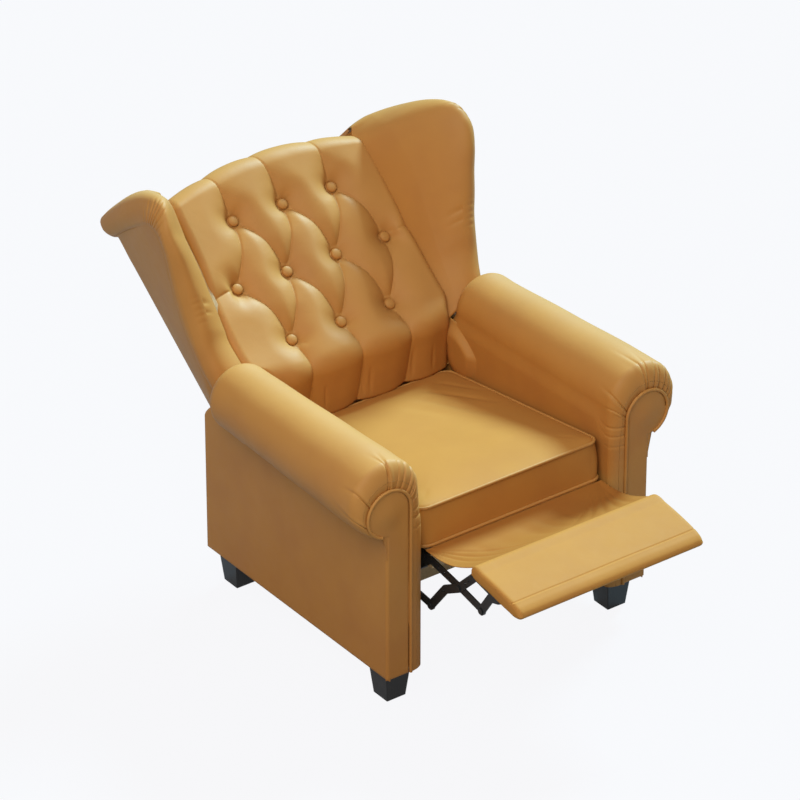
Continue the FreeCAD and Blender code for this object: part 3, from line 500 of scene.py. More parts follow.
def padDepth(x, s):
    # how far the leather lies under the fullest point of the pillows
    spots = buttonSpots()
    near = np.zeros(np.shape(x))
    valley = np.zeros(np.shape(x))
    crease = np.zeros(np.shape(x))
    for line, middle, sharp in padFolds():
        away, share, side = distanceTo(x, s, line)
        rise = 1 - ease(np.abs(2 * share - 1))
        depth = pad["front"] - (pad["front"] - middle) * rise
        if abs(line[-1][1]) > 300 or abs(line[-1][0]) > 270:
            depth = pad["front"] - (pad["front"] - middle) * ease(share * 2.2)
        weight = np.exp(-away * (1 + 0.07 * side) / 6.0)
        near += weight
        valley += weight * depth
        crease = np.maximum(crease, 1.9 * sharp * bell(away, 1.9) * (0.35 + 0.65 * rise))
    for bx, bs in spots:
        away = np.hypot(x - bx, s - bs)
        crease = np.maximum(crease, 3.6 * bell(away - 12.5, 2.4))
        weight = 2.5 * np.exp(-np.maximum(away - 8, 0) / 6.0)
        near += weight
        valley += weight * pad["front"]
    inside = -6.0 * np.log(np.maximum(near, 1e-9))
    away = np.clip(inside / pad["pillow"], 0, 1)
    puff = (1 - (1 - away) ** 2.2) ** 0.92
    depth = valley / np.maximum(near, 1e-9) * (1 - puff) + crease
    for start, end, deep, wide in padCreases():
        away, share, side = distanceTo(x, s, [start, end])
        depth = depth + deep * bell(away, wide) * np.sin(np.pi * np.clip(share, 0.02, 0.98))
    return depth


def padProfile(t):
    # the pad in the side view: hem, skirt straight down behind the seat, belly, front, round top, then rearwards;
    # t is the length along it
    topStart = pad["topS"] - pad["topRound"]
    belly = pad["bellyRound"]
    downN, downS = -math.sin(backTilt), -math.cos(backTilt)
    past = pad["bellyS"] - t
    angle = np.clip(past / belly, 0, backTilt)
    under = np.clip(past - belly * backTilt, 0, pad["skirt"])
    hemTurn = np.clip((past - belly * backTilt - pad["skirt"]) / pad["hem"], 0, math.pi)
    n = pad["front"] - belly * (1 - np.cos(angle)) + downN * under
    s = np.maximum(t, pad["bellyS"]) - belly * np.sin(angle) + downS * under
    # the hem turns under, to the rear
    rearN, rearS = -math.cos(backTilt), math.sin(backTilt)
    n = n + pad["hem"] * (rearN * (1 - np.cos(hemTurn)) + downN * np.sin(hemTurn))
    s = s + pad["hem"] * (rearS * (1 - np.cos(hemTurn)) + downS * np.sin(hemTurn))
    outN = np.cos(angle + hemTurn)
    outS = -np.sin(angle + hemTurn)
    high = t > topStart
    angle = np.minimum((t - topStart) / pad["topRound"], math.pi / 2)
    past = np.maximum(t - topStart - pad["topRound"] * math.pi / 2, 0)
    n = np.where(high, pad["front"] - pad["topRound"] * (1 - np.cos(angle)) - past, n)
    s = np.where(high, topStart + pad["topRound"] * np.sin(angle) - past * 0.05, s)
    outN = np.where(high, np.cos(angle), outN)
    outS = np.where(high, np.sin(angle), outS)
    return n, s, outN, outS


def placePad(across, along):
    first = pad["bellyS"] - pad["bellyRound"] * backTilt - pad["skirt"] - math.pi * pad["hem"]
    last = pad["topS"] - pad["topRound"] + pad["topRound"] * math.pi / 2 + pad["topDepth"]
    t = first + (last - first) * along
    n, s, outN, outS = padProfile(t)
    wide = np.where(across > 0.5, pad["spread"][1] * ease(-t / 165), 11 + (pad["spread"][-1] - 11) * ease(-t / 165)
                    + 14 * bell(t + 50, 95))
    half = pad["footHalfWidth"] + (pad["halfWidth"] + wide - pad["footHalfWidth"]) * ease((t + 214) / 44)
    half = half - 2 * ease((t - 235) / 60)
    flat = half - pad["edge"]
    arc = pad["edge"] * math.pi / 2
    total = flat + arc + pad["side"] - pad["edge"]
    signed = (across * 2 - 1) * total
    reach = np.abs(signed)
    turn = np.clip((reach - flat) / pad["edge"], 0, math.pi / 2)
    x = np.sign(signed) * (np.minimum(reach, flat) + pad["edge"] * np.sin(turn))
    drop = pad["edge"] * (1 - np.cos(turn)) + np.maximum(reach - flat - arc, 0)
    low = ease((-236 - t) / 40)
    drop = drop * (1 - low) + np.minimum(drop, 7) * low
    swell = 8 * bell(t + 214, 60)
    corner = 9 * ease((reach - flat + 60) / 90) * ease((-190 - t) / 50)
    crowned = pad["crown"] * (np.minimum(np.abs(x), pad["halfWidth"]) / pad["halfWidth"]) ** 2 * ease((t - 160) / 118)
    sideways = np.sign(signed) * np.minimum(reach, flat + arc)
    depth = padDepth(sideways, t) * (1 - ease((reach - flat - arc * 0.6) / 30))
    lift = swell - drop - depth - corner
    return inBack(x, n + outN * lift, s + outS * lift - crowned)


# the cheek covers the hinge beside the pad's lower corner: its middle (y, z), its reach forwards, to the rear, down
# and up, its inner and outer planes and how far its slope sinks into the arm
cheek = {"middle": (158.0, 441.0), "reach": (58.0, 78.0, 96.0, 62.0), "inner": 239.0, "outer": 256.2, "slope": 17.0,
         "level": 0.42, "lean": 0.9, "columns": 72, "rows": 24}


def placeCheek(across, along, sign):
    # flat in the middle, sloping into the arm all round
    turn = across * 2 * math.pi
    reach = 1 - np.abs(2 * along - 1)
    forwards, rearwards, down, up = cheek["reach"]
    middleY, middleZ = cheek["middle"]
    y = middleY + np.where(np.cos(turn) > 0, rearwards, -forwards) * reach * np.abs(np.cos(turn)) ** 0.8
    z = middleZ + reach * np.where(np.sin(turn) < 0, -down, up) * np.abs(np.sin(turn)) ** 0.8
    y = y + cheek["lean"] * np.maximum(z - middleZ, 0)
    slope = ease((reach - cheek["level"]) / (1 - cheek["level"])) * (along < 0.5)
    return inChair(sign * np.where(along < 0.5, cheek["inner"] + cheek["slope"] * slope, cheek["outer"]), y, z)


def makePad():
    piece = shapedGrid("backPad", pad["columns"], pad["along"], placePad)
    closeUp(piece)
    cheeks = []
    for sign in (1, -1):
        cheeks.append(shapedGrid("cheek", cheek["columns"], cheek["rows"],
                                 lambda across, along: placeCheek(across, along, sign)))
        closeUp(cheeks[-1])
    joinTo(piece, *cheeks)
    smoothShade(piece)
    finishPiece(piece, hide, "back", ("back_pad",))


def makeButtons():
    # covered buttons: a low dome with a tucked rim
    button = {"radius": 12.4, "height": 6.0, "rise": 3.2, "lean": 0.08}
    rng = random.Random(3)
    for i, (x, s) in enumerate(buttonSpots()):
        piece = addPiece("backButton.%02d" % (i + 1), bpy.ops.mesh.primitive_uv_sphere_add, segments=40,
                         ring_count=20, radius=1)
        ball = cornersOf(piece)
        dome = np.sign(ball[:, 2]) * np.abs(ball[:, 2]) ** 0.85
        wide = button["radius"] * (1 + 0.05 * bell(ball[:, 2] + 0.15, 0.2))
        lean = rng.uniform(-button["lean"], button["lean"])
        n = button["rise"] + button["height"] * dome + lean * ball[:, 0] * button["radius"]
        moveCorners(piece, inBack(x + ball[:, 0] * wide, n, s + ball[:, 1] * wide))
        closeUp(piece, 0.001)
        smoothShade(piece)
        finishPiece(piece, hide, "back", ("back_buttons",))


makePad()
makeButtons()
print("tufted back pad and buttons made")


# Wings

wing = {"levels": (-208, -121, -32, 47, 138, 223, 288),
        "root": {1: (246, 251, 252, 246, 239, 230, 262), -1: (251, 280, 275, 273, 273, 273, 270)},
        "lean": {1: 0.0, -1: 1.0},
        "rear": -118.0, "foot": -232.0, "stations": 300, "around": 200, "smoothing": 340,
        "push": {1: 7.0, -1: 12.0}, "ridge": {1: 9.0, -1: 15.0}, "groove": 3.0, "step": 4.5,
        # shares of the section: inner face, rim, band, outer face, rear, side of the pad; how far each swells
        "stops": (0.0, 0.28, 0.44, 0.62, 0.84, 0.93, 1.0), "swell": (8.0, 5.0, 5.0, 4.0, 0.0, 0.0),
        # pleats where the band turns the top corner: place along the rim, depth, share of the band they cross
        "pleats": ((0.470, 1.6, 0.5), (0.515, 2.4, 0.7), (0.548, 3.2, 0.9), (0.578, 3.6, 1.0), (0.607, 3.4, 1.0),
                   (0.636, 3.0, 0.9), (0.668, 2.4, 0.8), (0.705, 1.6, 0.6), (0.44, 1.2, 0.4), (0.39, 1.0, 0.4)),
        # wrinkles lower down, on the band and on the inner face: place along the rim, depth
        "wrinkles": ((0.150, 1.5), (0.172, 1.9), (0.190, 1.6), (0.211, 1.8), (0.228, 1.2)),
        "creases": ((0.176, 1.5), (0.206, 2.0), (0.214, 1.0)),
        "rim": [(56, -196, 333), (80, -120, 338), (103, -80, 341), (129, -40, 346), (158, 0, 354), (184, 40, 361),
                (209, 80, 371), (224, 120, 378), (226, 150, 380), (215, 190, 380), (188, 214, 377),
                (150, 233, 374), (110, 248, 370), (50, 264, 364), (-20, 277, 357), (-80, 285, 351), (-118, 288, 347)],
        "seam": [(-16, -196, 356), (4, -140, 374), (31, -80, 386), (53, -40, 393), (82, 0, 401), (112, 40, 407),
                 (146, 80, 413), (167, 112, 418), (172, 134, 420), (168, 152, 420), (158, 164, 418),
                 (140, 174, 415), (112, 184, 409), (60, 197, 397), (-8, 213, 382), (-80, 228, 367), (-118, 236, 357)]}


def wingAnchors(u, roots, lean):
    # inner root, rim, seam, outer root and inner rear corner of the wing, each as (n, s, x), for a share u
    rim, seam = through(wing["rim"], u, True), through(wing["seam"], u, True)
    rim += lean * (1 - ease((rim[:, 1:2] - 110) / 90)) * np.array([-22.0, 0, 10.0])
    inner, outer, corner = [], [], []
    for n, s, x in wing["rim"]:
        level = min(s, 268.0)
        if s < -100:
            level = s - (5 + 61) * 0.35 * (-100 - s) / 65
        root = float(np.interp(level, wing["levels"], roots))
        inner.append((min(5.0, n), level, root))
        low = max(wing["foot"] - 4, wing["foot"] + (s + 165) * 2.0)
        corner.append((wing["rear"], level if s > -100 else low, root))
    for n, s, x in wing["seam"]:
        level = s if s > -140 else wing["foot"]
        level = level - 18 * (1 if s <= -140 else 0)
        outer.append((wing["rear"], max(level, wing["foot"]), 324 + 0.047 * (max(level, wing["foot"]) + 232)))
    return through(inner, u, True), rim, seam, through(outer, u, True), through(corner, u, True)


def wingSurface(across, along, sign):
    columns = wing["around"] + 1
    u = along.reshape(-1, columns)[:, 0]
    inner, rim, seam, outer, corner = wingAnchors(u, wing["root"][sign], wing["lean"][sign])
    v = across.reshape(-1, columns)[0]
    away = unit(rim - 0.5 * (inner + seam))
    rim = rim + away * wing["push"][sign]
    stops = wing["stops"]
    out = unit(np.cross(rim - inner, seam - rim))
    bandOut = np.cross(unit(seam - rim), out)
    faceOut = np.cross(unit(rim - inner), out)
    ridge = 0.55 * rim + 0.45 * seam + away * 2 + bandOut * wing["ridge"][sign]
    ends = (inner, rim - away * 3, ridge, seam, outer, corner, inner)
    points = np.zeros((len(u), columns, 3))
    for k in range(6):
        chosen = (v >= stops[k]) & (v <= stops[k + 1])
        w = (v[chosen] - stops[k]) / (stops[k + 1] - stops[k])
        a, b = ends[k], ends[k + 1]
        base = a[:, None, :] * (1 - w)[None, :, None] + b[:, None, :] * w[None, :, None]
        bow = wing["swell"][k] * 4 * w * (1 - w)
        points[:, chosen] = base + np.cross(unit(b - a), out)[:, None, :] * bow[None, :, None]
    rimAt, ridgeAt, seamAt = (int(stop * wing["around"]) for stop in stops[1:4])
    # the rim is rounded, the seam stays crisp
    window = np.zeros(columns)
    window[rimAt - 34:rimAt + 29] = np.cos(np.linspace(-math.pi / 2, math.pi / 2, 63)) ** 0.5
    window[ridgeAt - 12:ridgeAt + 13] = np.maximum(window[ridgeAt - 12:ridgeAt + 13],
                                                   0.5 * np.cos(np.linspace(-math.pi / 2, math.pi / 2, 25)))
    for turn in range(wing["smoothing"]):
        middle = 0.5 * (np.roll(points, 1, axis=1) + np.roll(points, -1, axis=1))
        points += (middle - points) * (0.8 * window)[None, :, None]
    # a sunk seam and a step down to the outer face
    index = np.arange(columns)
    groove = wing["groove"] * bell(index - seamAt, 1.6)
    step = np.where(index > seamAt, wing["step"] * np.exp(-(index - seamAt) / 26), 0)
    points -= bandOut[:, None, :] * (groove + step)[None, :, None]

    def pressIn(direction, deep, gap, fade):
        points[...] -= direction[:, None, :] * (deep * gap * fade[None, :])[:, :, None]

    rng = random.Random(11)
    bandShare = np.clip((index - rimAt) / (seamAt - rimAt), 0, 1)
    onBand = ((index > rimAt - 8) & (index < seamAt)).astype(float)
    for at, deep, reach in wing["pleats"]:
        line = at + (bandShare - 1) * rng.uniform(-0.008, 0.008)
        wide = 0.0032 + 0.004 * (1 - bandShare)
        fade = ease((bandShare - (1 - reach)) / 0.35) * onBand
        pressIn(bandOut, deep, bell(u[:, None] - line[None, :], wide[None, :]), fade)
    for at, deep in wing["wrinkles"]:
        pressIn(bandOut, deep, bell(u[:, None] - at, 0.0052), bell(index - rimAt - 12, 11))
    for at, deep in wing["creases"]:
        fade = ease((index - rimAt * 0.55) / (rimAt * 0.4)) * (index < rimAt)
        pressIn(faceOut, deep, bell(u[:, None] - at, 0.006), fade)
    n, s, x = points[..., 0].ravel(), points[..., 1].ravel(), points[..., 2].ravel()
    return inBack(x, n, s)


# round end of the roll, standing out behind the wing: its middle (s, x), half height, half width and reach
tail = {"middle": (261.0, 326.0), "tall": 27.0, "wide": 33.0, "reach": 46.0, "sunk": 6.0, "droop": 2.0, "flat": 1.5}


def wingTail(across, along):
    turn = across * 2 * math.pi
    shrink = np.sqrt(np.maximum(1 - along**2, 0))
    n = wing["rear"] + tail["sunk"] - (tail["reach"] + tail["sunk"]) * along
    s = (tail["middle"][0] - tail["droop"] * along + tail["tall"] * shrink * np.sin(turn)
         + tail["flat"] * np.cos(2 * turn))
    return inBack(tail["middle"][1] + tail["wide"] * shrink * np.cos(turn), n, s)


def makeWings():
    for name, sign in (("left", 1), ("right", -1)):
        def spot(across, along):
            return wingSurface(across, along, sign) * (sign, 1, 1)
        piece = shapedGrid(name + "Wing", wing["around"], wing["stations"], spot)
        end = shapedGrid(name + "Tail", 64, 24, lambda across, along: wingTail(across, along) * (sign, 1, 1))
        closeUp(piece)
        closeUp(end)
        joinTo(piece, end)
        smoothShade(piece)
        finishPiece(piece, hide, "back", (name + "_wing_pad",))


makeWings()
print("wings made")


# Arms

arm = {"inner": 253.0, "piping": 291.0, "rear": 212.0, "front": -375.5, "curl": 29.0,
       "frontRadius": 87.5, "rearRadius": 77.5, "frontZ": 529.0, "rearZ": 519.0, "core": 275.0,
       "scroll": (347.0, 502.0), "scrollRadius": 56.5, "wallFoot": 336.0, "columnFoot": 82.0,
       "around": 660, "along": 145, "capReach": 34.0, "wallCurl": 0.30, "wallStart": 18.0,
       # the roll: its inner side, its turn in degrees, its share of the outline, where it narrows to the rear
       "rollInner": 257.5, "rollTurn": (-88, 180), "rollShare": 0.66, "taperFrom": 145.0, "taperOver": 421.0,
       # where the pleats meet the scroll, in degrees from the outer side, and how deep they are
       "leftPleats": ((3, 2.6), (15, 1.4), (27, 3.0), (43, 3.2), (58, 2.6), (72, 1.8), (88, 2.2), (93, 2.2),
                      (160, 2.4), (172, 1.6), (-18, 2.0), (-50, 1.6)),
       "rightPleats": ((121, 2.6), (140, 3.2), (155, 3.0), (160.5, 2.4), (176, 2.2), (187, 1.8), (88, 2.4), (93, 2.2),
                       (31, 2.6), (-20, 2.4), (-58, 1.8), (108, 1.4)),
       # short pinches on the inner face: level, depth, length
       "pinches": ((487, 2.4, 34), (466, 2.0, 26), (441, 1.4, 20))}


def placeArm(across, along, pleats, seed):
    # across: from inside, under the roll, over it, down the inner wall and back; along: rear cap, run, front curl
    capEnd, curlStart, first, last = 0.15, 0.42, 0.02, 0.98
    cap = np.clip(along / capEnd, 0, 1)
    run = np.clip((along - capEnd) / (curlStart - capEnd), 0, 1)
    curl = np.clip((along - curlStart) / (1 - curlStart), 0, 1)
    capReach = arm["capReach"]
    y = arm["rear"] - capReach + (arm["front"] + arm["curl"] - arm["rear"] + capReach) * run
    blend = np.clip((arm["taperFrom"] - y) / arm["taperOver"], 0, 1)
    radius = arm["rearRadius"] + (arm["frontRadius"] - arm["rearRadius"]) * blend
    middleX = arm["rollInner"] + radius
    middleZ = arm["rearZ"] + (arm["frontZ"] - arm["rearZ"]) * blend
    foot = arm["wallFoot"] + (arm["columnFoot"] - arm["wallFoot"]) * ease((along - curlStart + 0.02) / 0.02)
    share = arm["rollShare"]
    v = np.clip((across - first) / (last - first), 0, 1)
    low, high = (math.radians(turn) for turn in arm["rollTurn"])
    angle = low + (high - low) * np.minimum(v / share, 1)
    w = np.clip((v - share) / (1 - share), 0, 1)
    onWall = w > 0
    x = middleX + radius * np.cos(angle)
    z = np.where(onWall, middleZ - (middleZ - foot) * w, middleZ + radius * np.sin(angle))
    x = np.where(onWall, x + (arm["inner"] - x) * ease(w * 4.5), x)
    # rear end: rounds over, then closes on the middle of the roll
    capTurn = cap * math.pi / 2
    y = y + capReach * np.cos(capTurn) * (cap < 1)
    inward = capReach * (1 - np.sin(capTurn)) * (cap < 1) * (1 - ease(w * 4.5))
    closing = np.clip(1 - cap * 6, 0, 1) * 0.98
    x = x - np.where(onWall, -1.0, np.cos(angle)) * inward
    z = z - np.where(onWall, 0.0, np.sin(angle)) * inward
    y = y + 5 * closing + 40 * (1 - cap) * ease((w - 0.22) * 4)
    x = x + (middleX - x) * closing
    z = np.where(onWall, z, z + (middleZ - z) * closing)
    # front: rolls over to the piping round the scroll, and to the straight piping below it
    turn = curl * math.pi / 2
    kept = ease(w * 5)
    wallCurl = np.clip((curl - arm["wallCurl"]) / (1 - arm["wallCurl"]), 0, 1)
    pull = (1 - np.cos(turn)) * (1 - kept) + (1 - np.cos(wallCurl * math.pi / 2)) * kept
    edge = np.clip(angle, math.radians(-72), math.pi)
    tx = np.where(onWall, arm["piping"] + 0.5, arm["scroll"][0] + arm["scrollRadius"] * np.cos(edge))
    tz = np.where(onWall, z - (1 - ease(w * 3)) * 22, arm["scroll"][1] + arm["scrollRadius"] * np.sin(edge))
    front, start = arm["front"], arm["front"] + arm["curl"]
    wallStart = front + arm["wallStart"]
    x = x + (tx - x) * pull
    z = z + (tz - z) * pull
    rollY = start + (front - start) * np.sin(turn)
    wallY = (start + (wallStart - start) * np.clip(curl / arm["wallCurl"], 0, 1)
             + (front - wallStart) * np.sin(wallCurl * math.pi / 2))
    y = np.where(curl > 0, rollY * (1 - kept) + wallY * kept, y)
    # pleats: a sharp groove each, puffed on one side, fading as they run back over the shoulder
    rng = random.Random(seed)
    turned = np.degrees(angle) + 55 * w
    depth = np.zeros(x.shape)
    for at, deep in pleats:
        reach, slant = rng.uniform(16, 62), rng.uniform(-8, 8)
        behind = np.maximum(y - start, 0)
        far = np.where(curl > 0, 1 - curl, 1 + behind / 30)
        wide = 1.0 + 0.9 * far
        off = turned - at - slant * far
        fade = np.where(curl > 0, 0.5 + 0.5 * ease(curl * 1.3), 0.5 * np.exp(-(behind / reach) ** 1.5))
        depth += (deep * bell(off, wide) - 0.45 * deep * bell(off - 5.5, 4.5)) * fade
    depth = depth * 1.7 * (1 - 0.7 * kept) * (cap >= 1)
    depth += 3.0 * bell(1 - curl, 0.14) * (1 - kept)
    for level, deep, length in arm["pinches"]:
        near = bell(z - level, 2.6) * onWall
        depth += deep * near * bell(y - front - 8, length)
    facing = np.sin(turn) * (curl > 0)
    nx = np.where(onWall, -1.0, np.cos(angle)) * (1 - facing * 0.85)
    nz = np.where(onWall, 0.0, np.sin(angle)) * (1 - facing * 0.85)
    wave = (0.8 * np.sin(y / 52 + 1.3) * np.sin(np.radians(turned) * 2.1 + y / 90) * (1 - kept) * (1 - curl)
            * ease(cap))
    x = x + nx * (wave - depth)
    z = z + nz * (wave - depth)
    y = y + facing * depth * 0.85
    # closing line inside
    inside = np.where(across < first, 1 - across / first, np.clip((across - last) / (1 - last), 0, 1))
    x = x + (arm["core"] - x) * inside
    y = y + 18 * ease(inside * 3) * (curl > 0)
    z = np.where(across < first, z + (foot + 60 - z) * inside, z + 60 * inside)
    return x, y, z


def makeArms():
    for name, sign, pleats, seed in (("left", 1, arm["leftPleats"], 5), ("right", -1, arm["rightPleats"], 8)):
        def spot(across, along):
            x, y, z = placeArm(across, along, pleats, seed)
            return inChair(x * sign, y, z)
        piece = shapedGrid(name + "Arm", arm["around"], arm["along"], spot)
        closeUp(piece)
        smoothShade(piece)
        finishPiece(piece, hide, "base", (name + "_arm_pad",))


side = {"outer": 353.5, "thick": 14.0, "puff": 1.6, "sunk": 1.2,
        "front": -376.0, "rear": 302.0, "foot": 80.0, "top": 449.0,
        "rearTop": 404.0, "shoulder": 276.0, "round": 6.0}


def placeSide(across, along):
    y = side["front"] + (side["rear"] - side["front"]) * across
    t = np.clip((y - side["shoulder"]) / (side["rear"] - side["shoulder"]), 0, 1)
    top = side["rearTop"] + (side["top"] - side["rearTop"]) * np.sqrt(np.maximum(1 - t**2, 0))
    z = side["foot"] + (top - side["foot"]) * along
    fall = roundedEdge(insetIn(y, z, (side["front"], side["foot"]), (side["rear"], top)), side["round"])
    puff = side["puff"] * np.sin(np.pi * across) * np.sin(np.pi * along) - side["sunk"]
    return inChair(side["outer"] + puff - fall, y, z)


def makeSides():
    piece = shapedGrid("leftSide", 170, 94, placeSide)
    thicken(piece, side["thick"], 50)
    finishPair(piece, "rightSide", "outer_panel")


face = {"outer": 352.6, "neck": 7.0, "dome": 5.0, "domeWide": 0.62, "straight": 0.72,
        "foot": 81.0, "front": -378.5, "depth": 9.0, "radius": 53.6, "edge": 7.0}


def placeFace(across, along):
    # straight panel up to the scroll, then the scroll's circle; rows close up towards its top
    straight = face["straight"]
    t = np.clip(along / straight, 0, 1)
    turn = np.clip((along - straight) / (1 - straight), 0, 1) * math.pi / 2
    cx, cz, r = *arm["scroll"], face["radius"]
    z = np.where(along <= straight, face["foot"] + (cz - face["foot"]) * t, cz + r * np.sin(turn))
    left = np.where(along <= straight, cx - r, cx - r * np.cos(turn))
    bulge = np.where(z > cz, r * np.cos(turn), np.sqrt(np.maximum(r * r - (z - cz) ** 2, 0)))
    circle = np.where(z < cz - r, -20, cx + bulge - face["outer"])
    soft = face["neck"]
    neck = face["outer"] + soft * np.log1p(np.exp(np.clip((circle + soft) / soft, -30, 30))) - 0.2
    right = np.where(along <= straight, neck, cx + r * np.cos(turn))
    x = left + (right - left) * across
    fall = roundedEdge(insetIn(x, z, (left, face["foot"]), (right, cz + r)), face["edge"])
    dome = face["dome"] * bell(np.hypot(x - cx, z - cz), r * face["domeWide"])
    y = face["front"] + fall * 0.8 - dome + 2.5
    return inChair(x, y, z)


# the leather under the scroll, between the front panel and the roll
gusset = {"inner": 345.5, "front": -374.6, "foot": 388.0, "tall": 60.0, "footWide": 8.0, "widens": 6.5,
          "widensFrom": 400.0, "widensOver": 45.0, "thick": 4.0}


def placeGusset(across, along):
    z = gusset["foot"] + gusset["tall"] * along
    wide = gusset["footWide"] + gusset["widens"] * ease((z - gusset["widensFrom"]) / gusset["widensOver"])
    return inChair(gusset["inner"] + wide * across, gusset["front"] + 0 * across, z)


def makeFaces():
    piece = shapedGrid("leftScrollFront", 36, 220, placeFace)
    closeUp(piece, 0.01, fill=False)
    useModifier(piece, "SOLIDIFY", thickness=face["depth"] * mm, offset=-1.0)
    closeUp(piece, 0.001)
    corner = shapedGrid("gusset", 4, 20, placeGusset)
    useModifier(corner, "SOLIDIFY", thickness=gusset["thick"] * mm, offset=-1.0)
    joinTo(piece, corner)
    smoothShade(piece, 60)
    finishPair(piece, "rightScrollFront", "scroll_front")


makeArms()
makeSides()
makeFaces()
print("arms made")


# Seat cushion

cushion = {"half": 241.0, "length": 548.0, "height": 100.0, "lift": 4.0, "crown": 17.0, "corner": 26.0,
           "voxel": 5.0, "pressure": 4.0, "frames": 20, "cap": 20.0, "segments": 6, "seam": 8.0,
           # creases from the rear left across the seat, dents near the front: from, to, depth, width
           "creases": (((70, 470), (150, 250), 2.2, 14), ((110, 480), (205, 300), 2.6, 10),
                       ((20, 455), (90, 300), 1.6, 18), ((160, 500), (225, 380), 2.0, 9),
                       ((-40, 200), (60, 120), 1.0, 30), ((214, 30), (170, 70), 1.2, 7),
                       ((-214, 26), (-176, 60), 1.2, 7)),
           # how far the sides and the ends of the boxing stand out at half height
           "sideBulge": 8.0, "endBulge": -2.0}


def makeCushion():
    piece = addPiece("seatCushion", bpy.ops.mesh.primitive_cube_add, size=1)
    piece.scale = (cushion["half"] * 2 * mm, cushion["length"] * mm, cushion["height"] * mm)
    piece.location = (0, cushion["length"] / 2 * mm, (cushion["lift"] + cushion["height"] / 2) * mm)
    bpy.ops.object.transform_apply(location=True, rotation=False, scale=True)
    bpy.ops.object.mode_set(mode="EDIT")
    bpy.ops.mesh.select_all(action="DESELECT")
    bpy.ops.object.mode_set(mode="OBJECT")
    for edge in piece.data.edges:
        a, b = (piece.data.vertices[i].co for i in edge.vertices)
        edge.select = abs(a.z - b.z) > 0.01
    bpy.ops.object.mode_set(mode="EDIT")
    bpy.ops.mesh.select_mode(type="EDGE")
    bpy.ops.mesh.bevel(offset=cushion["corner"] * mm, segments=cushion["segments"], affect="EDGES")
    bpy.ops.object.mode_set(mode="OBJECT")
    useModifier(piece, "REMESH", mode="VOXEL", voxel_size=cushion["voxel"] * mm)
    inflate(piece, onSeam)
    useModifier(piece, "SMOOTH", factor=0.5, iterations=4)
    useModifier(piece, "SUBSURF", levels=1, render_levels=1)
    x, y, z = (cornersOf(piece) / mm).T
    edge = np.minimum(cushion["half"] - np.abs(x), np.minimum(y, cushion["length"] - y))
    top = ease((z - cushion["lift"] - cushion["height"] + 12) / 10)
    crown = cushion["crown"] * (1 - np.exp(-np.clip(edge, 0, 400) / 70)) * top
    crown = crown * 0.45
    z = z + crown
    for start, end, deep, wide in cushion["creases"]:
        away, share, lane = distanceTo(x, y, [start, end])
        z = z - deep * bell(away, wide) * np.sin(np.pi * np.clip(share, 0.02, 0.98)) * top
    band = np.sin(np.pi * np.clip((z - cushion["lift"]) / cushion["height"], 0, 1))
    onSide = (1 - top) * ease((20 - edge) / 14)
    middle = cushion["length"] / 2
    outX = np.maximum(np.abs(x) - cushion["half"] + cushion["corner"], 0) * np.sign(x)
    outY = np.maximum(np.abs(y - middle) - middle + cushion["corner"], 0) * np.sign(y - middle)
    out = np.maximum(np.hypot(outX, outY), 1e-6)
    bulge = cushion["sideBulge"] * (outX / out) ** 2 + cushion["endBulge"] * (outY / out) ** 2
    bulge = bulge * band * onSide * (out > 1e-3)
    x = x + outX / out * bulge
    y = y + outY / out * bulge
    moveCorners(piece, inSeat(x, y, z))
    smoothShade(piece)
    # the seat's upward faces carry painted light from this leather
    finishPiece(piece, mattHide, "seat", ("seat_cushion",))


def onSeam(point):
    # the foot of the boxing, and the piped edge of the top
    x, y, z = point / mm
    z -= cushion["lift"]
    edge = min(cushion["half"] - abs(x), y, cushion["length"] - y)
    seam = cushion["seam"]
    return z < seam or abs(z - 6) < seam or abs(z - cushion["height"] + seam / 2) < seam / 2 and edge < 7


def inflate(piece, held):
    # blown up as cloth under pressure, held at its seams, and no point moved too far
    start = cornersOf(piece)
    group = piece.vertex_groups.new(name="seams")
    group.add([v.index for v in piece.data.vertices if held(v.co)], 1.0, "REPLACE")
    pick(piece)
    modifier = piece.modifiers.new("Cloth", "CLOTH")
    for key, value in {"use_pressure": True, "uniform_pressure_force": cushion["pressure"], "quality": 5,
                       "mass": 0.3, "tension_stiffness": 15, "compression_stiffness": 15, "bending_stiffness": 2.0,
                       "vertex_group_mass": "seams"}.items():
        setattr(modifier.settings, key, value)
    modifier.settings.effector_weights.gravity = 0
    modifier.point_cache.frame_end = cushion["frames"]
    scene = bpy.context.scene
    for number in range(1, cushion["frames"] + 1):
        scene.frame_set(number)
    bpy.ops.object.modifier_apply(modifier=modifier.name)
    moved = cornersOf(piece) - start
    far = np.linalg.norm(moved, axis=1)
    moved *= np.minimum(1, cushion["cap"] * mm / np.maximum(far, 1e-9))[:, None]
    moveCorners(piece, start + moved)
    piece.vertex_groups.clear()
    scene.frame_set(1)
    print("inflated", piece.name, "largest move mm", round(float(far.max()) / mm, 1))


makeCushion()
print("seat cushion made")


# Footrest and flap

rest = {"half": 248.0, "length": 176.0, "thick": 28.0, "crease": 142.0, "crown": 4.0, "ends": 9.0, "straight": 0.94}


def restLoop(v):
    # side outline of the pad, from under its inner edge round the nose and back, as (y, z)
    corners = [(-1.5, -rest["thick"] + 2), (-1.0, -7), (-7, -0.5), (-40, rest["crown"] * 0.6),
               (-90, rest["crown"]), (-rest["crease"] + 12, rest["crown"] * 0.8), (-rest["crease"], 2.4),
               (-rest["crease"] - 9, 1.8), (-162, -0.6), (-172, -6.5), (-rest["length"], -14), (-172, -21.5),
               (-162, -26.5), (-140, -rest["thick"]), (-60, -rest["thick"]), (-8, -rest["thick"])]
    return through(corners + corners[:1], v)


